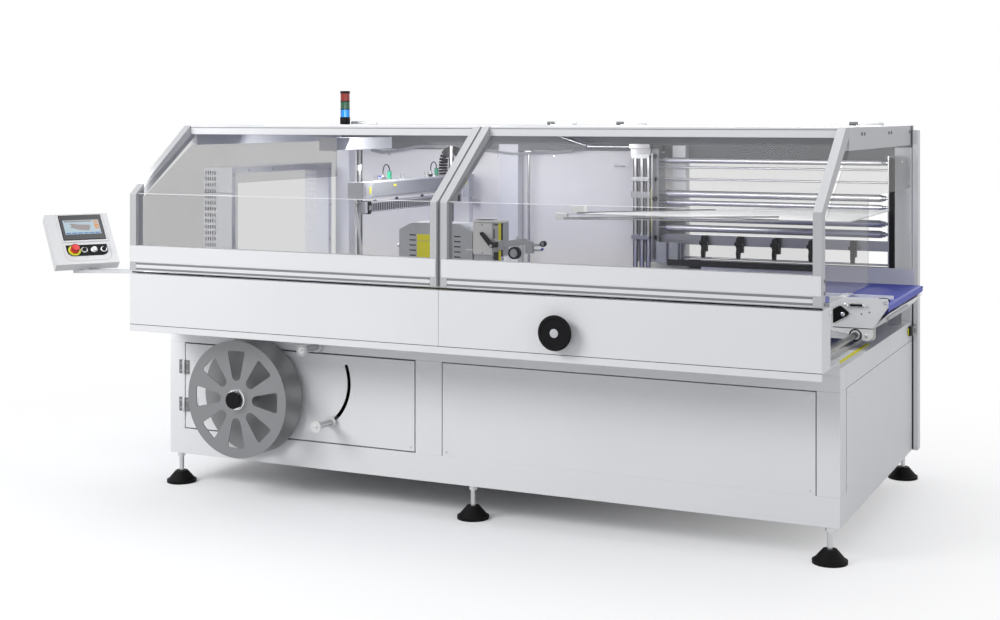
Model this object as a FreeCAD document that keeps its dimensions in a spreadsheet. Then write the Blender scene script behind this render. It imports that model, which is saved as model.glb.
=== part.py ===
"""Continuous sealing machine: cabinet, sealing station, infeed conveyor and two lifting hoods.

The model datum for sizes is the left end of the cabinet, its front face and the floor.
The document's own origin is the middle of the whole outline on the floor, with +X towards
the infeed end, the operator's side facing -Y and +Z up.  All sizes are millimetres.
"""
import FreeCAD, Part
import math
import os
import re
import Sketcher

V = FreeCAD.Vector
SIZES = [
    ("body_length", 2916), ("base_depth", 1448), ("base_bottom", 130), ("base_top", 695),
    ("sheet_gauge", 3), ("cover_gauge", 2), ("seat_gap", 0.3), ("run_gap", 6),
    # Feet
    ("foot_inset", 42), ("foot_setback", 24), ("rear_foot_setback", 20), ("pad_dia", 127),
    ("pad_rim", 12), ("pad_height", 50), ("pad_bevel", 8), ("pad_neck", 52), ("spindle_dia", 20),
    ("locknut_width", 30), ("locknut_height", 16),
    # Cabinet frame
    ("sill_height", 108), ("rail_height", 83), ("left_post", 76), ("right_post", 84),
    ("mid_post", 118), ("mid_post_left", 1212), ("post_depth", 100), ("rear_post_depth", 60),
    ("frame_wall", 40), ("panel_gap", 4), ("door_gap", 6),
    # Service door
    ("door_depth", 24), ("door_knuckle_dia", 12), ("knuckle_length", 60), ("knuckle_inset", 70),
    ("slot_x", 702), ("slot_z", 492), ("slot_radius", 200), ("slot_width", 16),
    ("slot_top", 20.8), ("slot_low", 53), ("pivot_boss", 40), ("pivot_pin", 12), ("pin_clearance", 0.6),
    # Dancer and guide roller
    ("dancer_arm", 20), ("dancer_gauge", 8), ("dancer_back", 30), ("guide_shaft", 10),
    ("guide_dia", 28), ("guide_flange", 48), ("guide_flange_width", 6), ("guide_reach", 130),
    ("top_guide_x", 755), ("top_guide_z", 638),
    # Scrap film reel
    ("reel_dia", 486), ("reel_x", 450), ("reel_z", 418), ("reel_width", 124), ("reel_sheet", 4),
    ("reel_stand_off", 26), ("reel_rim", 42), ("reel_boss", 78), ("reel_core_dia", 60),
    ("reel_windows", 8), ("window_near", 34), ("window_far", 88), ("window_round", 13),
     ("hub_dia", 70), ("hub_depth", 26), ("bearing_dia", 64),
    # Ledge and fascia
    ("hood_overhang", 274), ("ledge_drop", 28), ("ledge_flange", 50), ("fascia_bottom", 721),
    ("fascia_height", 211), ("fascia_depth", 125), ("middle_gap", 8), ("seam", 1.2), ("wheel_x", 1952),
    ("wheel_z", 805), ("wheel_dia", 130), ("wheel_rim", 16), ("wheel_reach", 46), ("wheel_hub", 32),
    ("wheel_web", 8),
    # Hoods
    ("hood_bottom", 945), ("kick_height", 105), ("bend_z", 1266), ("hood_top", 1550),
    ("slope_back", 100), ("profile_width", 32), ("profile_depth", 46), ("glass_gauge", 6),
    ("hinge_setback", 48), ("hinge_dia", 16), ("leaf_length", 60), ("cheek_rear", 495),
    ("cheek_strip_z", 1280), ("cheek_step", 30), ("top_plate_drop", 85), ("header_height", 38),
    ("roof_setback", 70), ("hinge_length", 110), ("hinge_inset", 120), ("fixed_knuckle", 40),
    ("groove_width", 8), ("groove_depth", 6), ("groove_pitch", 26),
    # Rear structure
    ("beam_height", 96), ("beam_depth", 44), ("corner_post_out", 23), ("corner_post_leg", 60),
    ("corner_post_top", 1531), ("wall_gauge", 4), ("upright_width", 70), ("upright_depth", 60),
    ("pilaster_x", 927), ("pilaster_width", 103), ("window_x", 1888), ("window_post", 64),
    ("window_bottom", 923), ("window_top", 1372),
    # Outfeed portal
    ("portal_reach", 158), ("portal_clear", 30), ("portal_setback", 108), ("portal_top", 1350),
    ("portal_bottom", 640), ("portal_flange", 26), ("vent_width", 6), ("vent_height", 17),
    ("vent_step", 13), ("vent_pitch", 28), ("vent_columns", 5), ("vent_rows", 13),
    ("vent_inset", 8), ("vent_drop", 14),
    # Conveyors
    ("belt_top", 870), ("belt_setback", 204), ("belt_width", 750), ("belt_gauge", 3), ("nose_dia", 32),
    ("infeed_reach", 75), ("seal_x", 722), ("belt_gap", 30), ("outfeed_reach", 120),
    ("frame_gauge", 5), ("frame_side_gap", 4), ("frame_drop", 90), ("leg_width", 50),
    ("leg_inset", 60), ("leg_pitch", 240),
    # Infeed side plate, guides and width slide
    ("side_plate_drop", 93), ("side_plate_rise", 25), ("side_plate_length", 223),
    ("side_plate_slant", 58), ("slant_drop", 6), ("plate_gauge", 6), ("guide_inset", 126),
    ("guide_rail_low", 8),
    ("guide_rail_height", 14), ("guide_rail_length", 785), ("guide_arm", 30), ("guide_top", 67),
    ("guide_length", 950), ("guide_drop", 40), ("guide_clip", 35), ("slide_dia", 24),
    ("slide_z", 752), ("slide_block", 50), ("slide_setback", 48), ("carriage_length", 180),
    ("carriage_low", 42), ("carriage_end", 67),
    # Control console
    ("console_reach", 876), ("console_width", 296), ("console_height", 295), ("console_depth", 45),
    ("console_yaw", 57.6), ("console_tilt", 42.2), ("console_top_y", 155), ("console_top_z", 1128),
    ("screen_width", 200), ("screen_height", 147), ("screen_left", 60), ("screen_top", 10),
    ("screen_gauge", 4), ("button_dia", 22), ("button_reach", 9), ("button_row", 218),
    ("button_inset", 38), ("button_pitch", 46), ("mushroom_dia", 40), ("mushroom_reach", 28),
    ("arm_height", 14), ("arm_width", 60), ("arm_block", 47), ("arm_block_height", 38),
    ("arm_clear", 7), ("neck_dia", 30), ("neck_height", 58), ("neck_setback", 36),
    # Tower light
    ("tower_x", 24), ("tower_dia", 50), ("tower_segment", 41), ("tower_base", 38), ("tower_cap", 12),
    # Sealing station
    ("column_clear", 102), ("column_setback", 174), ("column_dia", 24), ("column_stop", 10),
    ("seal_bar_z", 1236), ("seal_bar_height", 60), ("seal_bar_width", 70), ("bar_over", 30),
    ("comb_z", 1168), ("comb_height", 46), ("comb_width", 30), ("guard_x", 970),
    ("guard_width", 348), ("guard_clear", 194), ("guard_depth", 120), ("guard_top", 1140),
    ("guard_chamfer", 60), ("unit_gap", 8), ("unit_width", 84), ("unit_depth", 110),
    ("unit_top", 1160), ("plug_first", 265), ("plug_pitch", 460), ("plug_width", 14),
    ("plug_height", 46), ("socket_height", 20), ("lead_dia", 5), ("lead_radius", 30),
    # Film path at the rear
    ("roller_setback", 98), ("journal_dia", 14), ("journal_length", 45), ("roller_left", 1764),
    ("roller_plate_setback", 186), ("top_roller_z", 1387), ("long_roller_z", 1232),
    ("slim_roller_z", 1191), ("upper_pair_z", 1120), ("lower_pair_z", 1074), ("top_rod_z", 1355),
    ("middle_rod_z", 1300), ("low_rod_z", 940),
    ("roller_plate_low", 930), ("roller_plate_top", 1420), ("wide_roller", 34), ("slim_roller", 26),
    ("film_rod", 10), ("clamp_rail_z", 1000), ("clamp_rail_height", 46), ("clamp_rail_depth", 30),
    ("clamp_count", 5), ("clamp_width", 26), ("clamp_drop", 74), ("clamp_first", 218),
    ("clamp_last", 146), ("rod_cluster_x", 1672), ("rod_cluster_setback", 148), ("rod_pitch", 32),
    ("rod_dia", 22), ("rod_top", 1440), ("rod_clamp_z", 1212), ("rod_clamp_height", 30),
    # Film former
    ("former_left", 1640), ("former_inset", 26), ("former_setback", 138), ("former_z", 1180),
    ("former_gauge", 4), ("former_block", 60), ("former_block_height", 32),
]
SHEET = "Sizes"
WORDS = re.compile(r"\b(" + "|".join(name for name, value in SIZES) + r")\b")
SHIFT_X = "(body_length + infeed_reach - console_reach) / 2"
SHIFT_Y = "(base_depth + corner_post_out - hood_overhang - wheel_reach) / 2"
HALF = "((body_length - middle_gap) / 2)"
HINGE_Y = "(base_depth - hinge_setback)"
BELT_REAR = "(base_depth - belt_setback)"
BAY_BOTTOM = "(base_bottom + sill_height)"
BAY_HEIGHT = "(base_top - base_bottom - sill_height - rail_height)"
WALL_HEIGHT = "(hood_top - beam_height - base_top)"
RIGHT_UPRIGHT = "(body_length - upright_width)"

# Depths that follow from the belt, each written with a clearance of its own
PLACES = [
    ("arm_block_y", "(portal_front - arm_clear - arm_block)"),
    ("portal_front", "(belt_front - portal_clear)"),
    ("column_front", "(belt_front - column_clear)"),
    ("guard_y", "(belt_front - guard_clear)"),
    ("former_front", "(belt_front + former_inset)"),
    ("belt_front", "(base_depth - belt_setback - belt_width)"),
]
START_SIZE = 100  # first drawn size of a sketch, before its constraints are tied
NUT_SIDES = 6
BUTTON_COUNT = 4
RIM_CORNER = 0.4  # where the corners of the eight-sided rim lie, per half width
ROUND_SHARE = 0.29  # how far in a rounded corner's middle point lies, per radius

doc = FreeCAD.newDocument("SealingMachine")
sheet = doc.addObject("Spreadsheet::Sheet", SHEET)
for row, (name, value) in enumerate(SIZES, start=1):
    sheet.set("A%d" % row, name)
    sheet.set("B%d" % row, str(value))
    sheet.setAlias("B%d" % row, name)
doc.recompute()
nodes = []


def bind(item, prop, text):
    """Tie one property to an expression in the named sizes."""
    text = str(text)
    for name, depth in PLACES:
        text = re.sub(r"\b%s\b" % name, depth, text)
    item.setExpression(prop, WORDS.sub(lambda word: SHEET + "." + word.group(0), text))


def place(item, x, y, z, axis=None, angle=0):
    """Stand an object at x, y, z from the cabinet's left front floor corner."""
    if axis:
        item.Placement = FreeCAD.Placement(V(), FreeCAD.Rotation(V(*axis), 1))
        bind(item, "Placement.Rotation.Angle", angle)
    bind(item, "Placement.Base.x", "%s - %s" % (x, SHIFT_X))
    bind(item, "Placement.Base.y", "%s - %s" % (y, SHIFT_Y))
    bind(item, "Placement.Base.z", z)
    return item


def block(name, x, y, z, length, width, height):
    """Rectangular bar or plate with its low corner at x, y, z."""
    item = doc.addObject("Part::Box", name)
    bind(item, "Length", length)
    bind(item, "Width", width)
    bind(item, "Height", height)
    return place(item, x, y, z)


AXES = {"x": ((0, 1, 0), 90), "y": ((1, 0, 0), -90), "z": (None, 0)}


def rod(name, along, x, y, z, dia, length):
    """Round bar from x, y, z towards the positive end of one axis."""
    item = doc.addObject("Part::Cylinder", name)
    bind(item, "Radius", "(%s) / 2" % dia)
    bind(item, "Height", length)
    return place(item, x, y, z, *AXES[along])


def cone(name, x, y, z, dia, top_dia, length):
    """Tapered round piece standing on x, y, z."""
    item = doc.addObject("Part::Cone", name)
    bind(item, "Radius1", "(%s) / 2" % dia)
    bind(item, "Radius2", "(%s) / 2" % top_dia)
    bind(item, "Height", length)
    return place(item, x, y, z)


def cut(name, base, tool):
    item = doc.addObject("Part::Cut", name)
    item.Base = base
    item.Tool = tool
    return item


def join(name, parts):
    item = doc.addObject("Part::MultiFuse", name)
    item.Shapes = parts
    return item


def together(name, parts):
    """Several like solids that don't touch, kept in one file."""
    item = doc.addObject("Part::Compound", name)
    item.Links = parts
    return item


def node(item, label):
    """Mark an object as a finished sub-part and give it its file name."""
    item.Label = label
    nodes.append(item)
    return item


def base_plane(body, role):
    return next(part for part in body.Origin.OriginFeatures if part.Role == role)


def outline(body, plane, corners, name="outline"):
    """Closed sketch of straight edges, each corner tied to two expressions."""
    sketch = body.newObject("Sketcher::SketchObject", name)
    sketch.AttachmentSupport = (base_plane(body, plane), [""])
    sketch.MapMode = "FlatFace"
    count = len(corners)
    turn = 2 * math.pi / count
    spread = [V(math.cos(turn * i), math.sin(turn * i), 0) * START_SIZE for i in range(count)]
    for i in range(count):
        sketch.addGeometry(Part.LineSegment(spread[i], spread[(i + 1) % count]))
    for i in range(count):
        sketch.addConstraint(Sketcher.Constraint("Coincident", i, 2, (i + 1) % count, 1))
    for i, (across, up) in enumerate(corners):
        for kind, text in (("DistanceX", across), ("DistanceY", up)):
            index = sketch.addConstraint(Sketcher.Constraint(kind, i, 1, 0))
            bind(sketch, "Constraints[%d]" % index, text)
    return sketch


def pad(body, sketch, length, reverse=False):
    item = body.newObject("PartDesign::Pad", "pad")
    item.Profile = sketch
    bind(item, "Length", length)
    item.Reversed = reverse
    sketch.Visibility = False
    return item


def slab(name, plane, corners, thickness, x, y, z):
    """Sheet or section of one outline, padded to the positive side of its plane."""
    body = doc.addObject("PartDesign::Body", name)
    pad(body, outline(body, plane, corners), thickness, reverse=(plane == "XZ_Plane"))
    return place(body, x, y, z)


def through_pocket(body, sketch, name):
    pocket = body.newObject("PartDesign::Pocket", name)
    pocket.Profile = sketch
    pocket.Type = "ThroughAll"
    pocket.Midplane = True
    sketch.Visibility = False
    return pocket


# Feet
def feet():
    columns = ["foot_inset", "body_length / 2", "body_length - foot_inset"]
    rows = ["foot_setback", "base_depth - rear_foot_setback"]
    pads, spindles = [], []
    for i, x in enumerate(columns):
        for k, y in enumerate(rows):
            tag = "%d%d" % (i, k)
            disc = rod("pad_disc" + tag, "z", x, y, 0, "pad_dia", "pad_rim")
            dome = cone("pad_dome" + tag, x, y, "pad_rim", "pad_dia - pad_bevel", "pad_neck",
                        "pad_height - pad_rim")
            pads.append(join("pad" + tag, [disc, dome]))
            stem = rod("stem" + tag, "z", x, y, "pad_height", "spindle_dia",
                       "base_bottom - locknut_height - pad_height")
            nut = doc.addObject("Part::Prism", "nut" + tag)
            nut.Polygon = NUT_SIDES
            bind(nut, "Circumradius", "locknut_width / 2 / cos(%d)" % (180 // NUT_SIDES))
            bind(nut, "Height", "locknut_height")
            place(nut, x, y, "base_bottom - locknut_height")
            spindles.append(join("spindle" + tag, [stem, nut]))
    node(together("pads", pads), "foot_pads")
    node(together("spindles", spindles), "foot_spindles")


# Cabinet frame and covers
def cabinet():
    rear = "base_depth - rear_post_depth"
    span = "base_depth - post_depth - rear_post_depth"
    posts = []
    for i, (x, wide) in enumerate((("0", "left_post"), ("mid_post_left", "mid_post"),
                                   ("body_length - right_post", "right_post"))):
        posts.append(block("front_post%d" % i, x, 0, BAY_BOTTOM, wide, "post_depth", BAY_HEIGHT))
        posts.append(block("rear_post%d" % i, x, rear, BAY_BOTTOM, wide, "rear_post_depth", BAY_HEIGHT))
    node(together("posts", posts), "cabinet_posts")
    long_bars, end_bars = [], []
    for tag, z, tall in (("sill", "base_bottom", "sill_height"),
                         ("rail", "base_top - rail_height", "rail_height")):
        long_bars.append(block("front_" + tag, 0, 0, z, "body_length", "post_depth", tall))
        long_bars.append(block("rear_" + tag, 0, rear, z, "body_length", "rear_post_depth", tall))
        end_bars.append(block("left_" + tag, 0, "post_depth", z, "frame_wall", span, tall))
        end_bars.append(block("right_" + tag, "body_length - frame_wall", "post_depth", z, "frame_wall",
                              span, tall))
    node(together("long_bars", long_bars), "cabinet_long_rails")
    node(together("end_bars", end_bars), "cabinet_end_rails")
    inner = "body_length - 2 * frame_wall"
    plates = [block("floor_pan", "frame_wall", "post_depth", "base_bottom", inner, span, "sheet_gauge"),
              block("deck", "frame_wall", "post_depth", "base_top - sheet_gauge", inner, span,
                    "sheet_gauge")]
    node(together("plates", plates), "cabinet_floor_and_deck")
    wide_bay = "body_length - right_post - mid_post_left - mid_post"
    covers = [
        block("front_cover", "mid_post_left + mid_post + panel_gap", 0, BAY_BOTTOM,
              wide_bay + " - 2 * panel_gap", "door_depth", BAY_HEIGHT + " - panel_gap"),
        block("left_cover", "-cover_gauge", "post_depth", BAY_BOTTOM, "cover_gauge", span, BAY_HEIGHT),
        block("right_cover", "body_length", "post_depth", BAY_BOTTOM, "cover_gauge", span, BAY_HEIGHT),
        block("rear_cover_left", "left_post", rear, BAY_BOTTOM, "mid_post_left - left_post",
              "cover_gauge", BAY_HEIGHT),
        block("rear_cover_right", "mid_post_left + mid_post", rear, BAY_BOTTOM, wide_bay,
              "cover_gauge", BAY_HEIGHT)]
    node(together("covers", covers), "cabinet_covers")


# Service door, with the slot that the dancer runs in
def slot_ring(name, radius):
    """Sector of a cylinder about the dancer's pivot, as long as the slot."""
    item = doc.addObject("Part::Cylinder", name)
    bind(item, "Radius", radius)
    bind(item, "Height", "sheet_gauge + 2 * seat_gap")
    bind(item, "Angle", "slot_top + slot_low")
    bind(item, "Placement", "placement(vector(slot_x - %s; -seat_gap - %s; slot_z);"
                            " rotation(0; -slot_top; -90))" % (SHIFT_X, SHIFT_Y))
    return item


def service_door():
    low, tall = BAY_BOTTOM + " + door_gap", BAY_HEIGHT + " - 2 * door_gap"
    wide = "mid_post_left - left_post - 2 * door_gap"
    x0 = "left_post + door_gap"
    leaf = block("leaf", x0, 0, low, wide, "door_depth", tall)
    hollow = block("leaf_hollow", x0 + " + sheet_gauge", "sheet_gauge", low + " + sheet_gauge",
                   wide + " - 2 * sheet_gauge", "door_depth", tall + " - 2 * sheet_gauge")
    sector = cut("slot_sector", slot_ring("slot_outer", "slot_radius + slot_width / 2"),
                 slot_ring("slot_inner", "slot_radius - slot_width / 2"))
    ends = [rod("slot_end%d" % i, "y", "slot_x + slot_radius * cos(%s)" % angle, "-seat_gap",
                "slot_z + slot_radius * sin(%s)" % angle, "slot_width", "sheet_gauge + 2 * seat_gap")
            for i, angle in enumerate(("slot_top", "-slot_low"))]
    parts = [cut("slotted_leaf", cut("tray", leaf, hollow), join("slot", [sector] + ends))]
    last = "%s + %s - knuckle_inset - knuckle_length" % (low, tall)
    for i, z in enumerate((low + " + knuckle_inset", last)):
        parts.append(rod("knuckle%d" % i, "z", "left_post", "-door_knuckle_dia / 2 - seat_gap", z,
                         "door_knuckle_dia", "knuckle_length"))
        parts.append(block("strap%d" % i, "left_post", "-sheet_gauge", z, "knuckle_inset", "sheet_gauge",
                           "knuckle_length"))
    parts.append(rod("reel_bearing", "y", "reel_x", "-reel_stand_off + seat_gap", "reel_z",
                     "bearing_dia", "reel_stand_off - seat_gap"))
    parts.append(rod("pivot_boss_rod", "y", "slot_x", "sheet_gauge", "slot_z", "pivot_boss",
                     "dancer_back - sheet_gauge - seat_gap"))
    parts.append(rod("pivot_pin_rod", "y", "slot_x", "dancer_back - run_gap", "slot_z", "pivot_pin",
                     "run_gap + dancer_gauge + seat_gap + sheet_gauge"))
    node(join("hinged_door", parts), "service_door")


def spindled_roller(tag, x, z, back):
    """Flanged film roller in front of the door, on a shaft that runs back to one plane."""
    front = "-guide_reach"
    tube = rod(tag + "_tube", "y", x, front, z, "guide_dia", "guide_reach - 2 * run_gap")
    shaft = rod(tag + "_shaft", "y", x, front, z, "guide_shaft", "guide_reach + " + back)
    flanges = [rod("%s_flange%d" % (tag, i), "y", x, y, z, "guide_flange", "guide_flange_width")
               for i, y in enumerate((front, "-2 * run_gap - guide_flange_width"))]
    return [tube, shaft] + flanges


def film_guides():
    x, z = "slot_x + slot_radius * cos(slot_low)", "slot_z - slot_radius * sin(slot_low)"
    arm = block("dancer_plate", "0", "0", "0", "slot_radius", "dancer_gauge", "dancer_arm")
    place(arm, "slot_x - dancer_arm / 2 * sin(slot_low)", "dancer_back",
          "slot_z - dancer_arm / 2 * cos(slot_low)", (0, 1, 0), "slot_low")
    eyes = [rod("dancer_eye%d" % i, "y", ex, "dancer_back", ez, "pivot_boss - run_gap", "dancer_gauge")
            for i, (ex, ez) in enumerate((("slot_x", "slot_z"), (x, z)))]
    bore = rod("dancer_bore", "y", "slot_x", "dancer_back - 1", "slot_z", "pivot_pin + pin_clearance",
               "dancer_gauge + 2")
    plate = cut("bored_arm", join("arm_blank", [arm] + eyes), bore)
    roller = spindled_roller("dancer", x, z, "dancer_back + seat_gap")
    node(join("dancer", [plate] + roller), "dancer_roller")
    node(join("top_guide", spindled_roller("top_guide", "top_guide_x", "top_guide_z", "0")),
         "guide_roller")


# Scrap film reel
def reel_disc(name):
    """Spoked disc: a padded circle with one window pocket repeated round the shaft."""
    body = doc.addObject("PartDesign::Body", name)
    sketch = body.newObject("Sketcher::SketchObject", name + "_rim")
    sketch.AttachmentSupport = (base_plane(body, "XZ_Plane"), [""])
    sketch.MapMode = "FlatFace"
    sketch.addGeometry(Part.Circle(V(), V(0, 0, 1), START_SIZE))
    sketch.addConstraint(Sketcher.Constraint("Coincident", 0, 3, -1, 1))
    index = sketch.addConstraint(Sketcher.Constraint("Radius", 0, START_SIZE))
    bind(sketch, "Constraints[%d]" % index, "reel_dia / 2")
    pad(body, sketch, "reel_sheet", reverse=True)
    near, far, turn = "window_near / 2", "window_far / 2", "window_round"
    low, high = "reel_boss", "(reel_dia / 2 - reel_rim)"
    slope = "((window_far - window_near) / 2 / (%s - %s))" % (high, low)
    inset = "%s * %s" % (ROUND_SHARE, turn)
    right = [("%s - %s" % (near, turn), low), ("%s - %s" % (near, inset), "%s + %s" % (low, inset)),
             ("%s + %s * %s" % (near, slope, turn), "%s + %s" % (low, turn)),
             ("%s - %s * %s" % (far, slope, turn), "%s - %s" % (high, turn)),
             ("%s - %s" % (far, inset), "%s - %s" % (high, inset)), ("%s - %s" % (far, turn), high)]
    left = [("-(%s)" % across, up) for across, up in reversed(right)]
    hole = outline(body, "XZ_Plane", right + left, name + "_window")
    doc.recompute()
    pocket = through_pocket(body, hole, name + "_pocket")
    doc.recompute()
    pattern = body.newObject("PartDesign::PolarPattern", name + "_spokes")
    pattern.Originals = [pocket]
    pattern.Axis = (base_plane(body, "Y_Axis"), [""])
    pattern.Angle = 360
    bind(pattern, "Occurrences", "reel_windows")
    body.Tip = pattern
    doc.recompute()
    return body


def reel():
    front = "-reel_stand_off - reel_width"
    node(place(reel_disc("outer_disc"), "reel_x", front, "reel_z"), "reel_front_disc")
    rear_disc = rod("inner_disc", "y", "reel_x", "-reel_stand_off - reel_sheet", "reel_z", "reel_dia",
                    "reel_sheet")
    core = rod("core", "y", "reel_x", front + " + reel_sheet", "reel_z", "reel_core_dia",
               "reel_width - reel_sheet")
    node(join("spool", [rear_disc, core]), "reel_rear_disc")
    node(rod("hub", "y", "reel_x", front + " - hub_depth", "reel_z", "hub_dia", "hub_depth"), "reel_hub")


# Ledge, fascia and handwheel
def ledge_and_fascia():
    top, low = "ledge_flange - sheet_gauge", "ledge_flange - ledge_drop"
    node(slab("ledge", "YZ_Plane", [
        ("0", low), ("sheet_gauge", low), ("sheet_gauge", top), ("hood_overhang - sheet_gauge", top),
        ("hood_overhang - sheet_gauge", "0"), ("hood_overhang", "0"), ("hood_overhang", "ledge_flange"),
        ("0", "ledge_flange")], "body_length", 0, "-hood_overhang", "fascia_bottom - ledge_flange"),
        "front_ledge")
    half = "(body_length - seam) / 2"
    cases = [block("fascia_case%d" % i, x, "-hood_overhang", "fascia_bottom", half, "fascia_depth",
                   "fascia_height") for i, x in enumerate(("0", half + " + seam"))]
    node(together("cases", cases), "fascia")


def wheel_body():
    """Rim of eight flat faces, turned about the wheel's own axis."""
    body = doc.addObject("PartDesign::Body", "rim_ring")
    mid, flat = "(wheel_dia - wheel_rim) / 2", "wheel_rim / 2"
    corners = []
    near = RIM_CORNER
    for across, up in ((-1, -near), (-near, -1), (near, -1), (1, -near), (1, near), (near, 1),
                       (-near, 1), (-1, near)):
        corners.append(("%s + %s * %s" % (mid, across, flat), "%s * %s" % (up, flat)))
    section = outline(body, "XY_Plane", corners)
    ring = body.newObject("PartDesign::Revolution", "ring")
    ring.Profile = section
    ring.ReferenceAxis = (base_plane(body, "Y_Axis"), [""])
    ring.Angle = 360
    section.Visibility = False
    return place(body, "wheel_x", "-hood_overhang - wheel_reach + wheel_rim / 2", "wheel_z")


def handwheel():
    front = "-hood_overhang - wheel_reach"
    web = rod("wheel_disc", "y", "wheel_x", front + " + (wheel_rim - wheel_web) / 2", "wheel_z",
              "wheel_dia - wheel_rim", "wheel_web")
    boss = rod("wheel_boss", "y", "wheel_x", front + " + 2", "wheel_z", "wheel_hub",
               "wheel_reach - 2 - seat_gap")
    node(join("wheel", [wheel_body(), web, boss]), "handwheel")


# Lifting hoods
def hood_frame(side, x0):
    rise = "hood_top - hood_bottom"
    back = "hood_overhang + slope_back"
    bent = [("0", "0"), ("profile_depth", "0"),
            ("profile_depth", "bend_z - hood_bottom - profile_depth / 3"),
            (back + " + profile_depth", rise + " - header_height"), (back + " + profile_depth", rise),
            (back, rise), ("0", "bend_z - hood_bottom")]
    sides = [slab("%s_side%d" % (side, i), "YZ_Plane", bent, "profile_width", x, "-hood_overhang",
                  "hood_bottom") for i, x in enumerate((x0, "%s + %s - profile_width" % (x0, HALF)))]
    node(together(side + "_sides", sides), side + "_hood_profiles")
    between = HALF + " - 2 * profile_width"
    x1 = x0 + " + profile_width"
    kick = block(side + "_kick", x1, "-hood_overhang", "hood_bottom", between, "profile_depth",
                 "kick_height")
    grooves = [block("%s_groove%d" % (side, i), x1, "-hood_overhang", z, between, "groove_depth",
                     "groove_width")
               for i, z in enumerate(("hood_bottom + groove_width / 2", "hood_bottom + groove_pitch"))]
    header = block(side + "_header", x1, "slope_back", "hood_top - header_height", between,
                   "profile_depth", "header_height")
    grooved = cut(side + "_grooved_kick", kick, together(side + "_grooves", grooves))
    node(together(side + "_bars", [grooved, header]), side + "_hood_rails")


def hood_glass(side, x0, cheek_x):
    above = "hood_top - hood_bottom - kick_height - header_height"
    pane = [("0", "0"), ("glass_gauge", "0"), ("glass_gauge", "bend_z - hood_bottom - kick_height"),
            ("hood_overhang + slope_back", above), ("hood_overhang + slope_back - glass_gauge", above),
            ("0", "bend_z - hood_bottom - kick_height")]
    window = slab(side + "_pane", "YZ_Plane", pane, HALF + " - 2 * profile_width",
                  x0 + " + profile_width", "-hood_overhang + profile_width / 2",
                  "hood_bottom + kick_height")
    front, roof = "hood_overhang - profile_depth", "(base_depth - roof_setback)"
    under = "hood_top - hood_bottom - top_plate_drop"
    strip = "cheek_strip_z - hood_bottom"
    corners = [("0", "0"), ("cheek_rear + " + front, "0"), ("cheek_rear + " + front, strip),
               (roof + " + " + front, strip), (roof + " + " + front, under),
               ("hood_overhang + slope_back + run_gap", under),
               ("0", "bend_z - hood_bottom - profile_depth / 3 - cheek_step")]
    cheek = slab(side + "_cheek", "YZ_Plane", corners, "glass_gauge", cheek_x,
                 "-hood_overhang + profile_depth", "hood_bottom")
    node(together(side + "_panes", [window, cheek]), side + "_hood_glass")


def hood_roof(side, x0, plate_x):
    back, reach = "slope_back + profile_depth", "base_depth - roof_setback - slope_back - profile_depth"
    plate = block(side + "_end_plate", plate_x, back, "hood_top - top_plate_drop", "profile_width",
                  reach, "top_plate_drop")
    top = block(side + "_top_sheet", x0, back, "hood_top - sheet_gauge", HALF, reach, "sheet_gauge")
    node(join(side + "_roof", [plate, top]), side + "_hood_roof")
    hinges = []
    for i, x in enumerate((x0 + " + hinge_inset", x0 + " + " + HALF + " - hinge_inset - hinge_length")):
        leaf = block("%s_leaf%d" % (side, i), x, HINGE_Y + " - leaf_length", "hood_top", "hinge_length",
                     "leaf_length", "sheet_gauge")
        knuckle = rod("%s_hinge%d" % (side, i), "x", x, HINGE_Y, "hood_top + hinge_dia / 2 + seat_gap",
                      "hinge_dia", "hinge_length")
        hinges.append(join("%s_hinge_set%d" % (side, i), [leaf, knuckle]))
    node(together(side + "_hinges", hinges), side + "_hood_hinges")


def hood(side):
    left = side == "left"
    x0 = "0" if left else HALF + " + middle_gap"
    hood_frame(side, x0)
    hood_glass(side, x0, "0" if left else "body_length - glass_gauge")
    hood_roof(side, x0, "0" if left else "body_length - profile_width")


# Fixed rear structure
def rear_beam():
    beam = [block("beam", 0, "base_depth - beam_depth", "hood_top - beam_height", "body_length",
                  "beam_depth", "beam_height")]
    for i, x0 in enumerate(("0", HALF + " + middle_gap")):
        for k, x in enumerate((x0 + " + hinge_inset", x0 + " + " + HALF + " - hinge_inset - hinge_length")):
            tag = "%d%d" % (i, k)
            left = x + " - seat_gap - fixed_knuckle"
            beam.append(rod("fixed_knuckle" + tag, "x", left, HINGE_Y,
                            "hood_top + hinge_dia / 2 + seat_gap", "hinge_dia", "fixed_knuckle"))
            beam.append(block("fixed_leaf" + tag, left, HINGE_Y, "hood_top", "fixed_knuckle",
                              "hinge_setback - sheet_gauge", "sheet_gauge"))
    node(join("hinged_beam", beam), "rear_beam")


def rear_structure():
    uprights = []
    for i, (x, wide) in enumerate((("0", "upright_width"), ("pilaster_x", "pilaster_width"),
                                   ("window_x - window_post", "window_post"),
                                   (RIGHT_UPRIGHT, "upright_width"))):
        uprights.append(block("upright%d" % i, x, "base_depth - upright_depth", "base_top", wide,
                              "upright_depth", WALL_HEIGHT))
    node(together("uprights", uprights), "rear_uprights")
    wall_y, after_pilaster = "base_depth - wall_gauge", "pilaster_x + pilaster_width"
    window_wide = RIGHT_UPRIGHT + " - window_x"
    walls = [
        block("left_wall", "upright_width", wall_y, "base_top", "pilaster_x - upright_width",
              "wall_gauge", WALL_HEIGHT),
        block("middle_wall", after_pilaster, wall_y, "base_top",
              "window_x - window_post - (%s)" % after_pilaster, "wall_gauge", WALL_HEIGHT),
        block("window_sill", "window_x", wall_y, "base_top", window_wide, "wall_gauge",
              "window_bottom - base_top"),
        block("window_head", "window_x", wall_y, "window_top", window_wide, "wall_gauge",
              "hood_top - beam_height - window_top")]
    node(together("walls", walls), "rear_wall")


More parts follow.
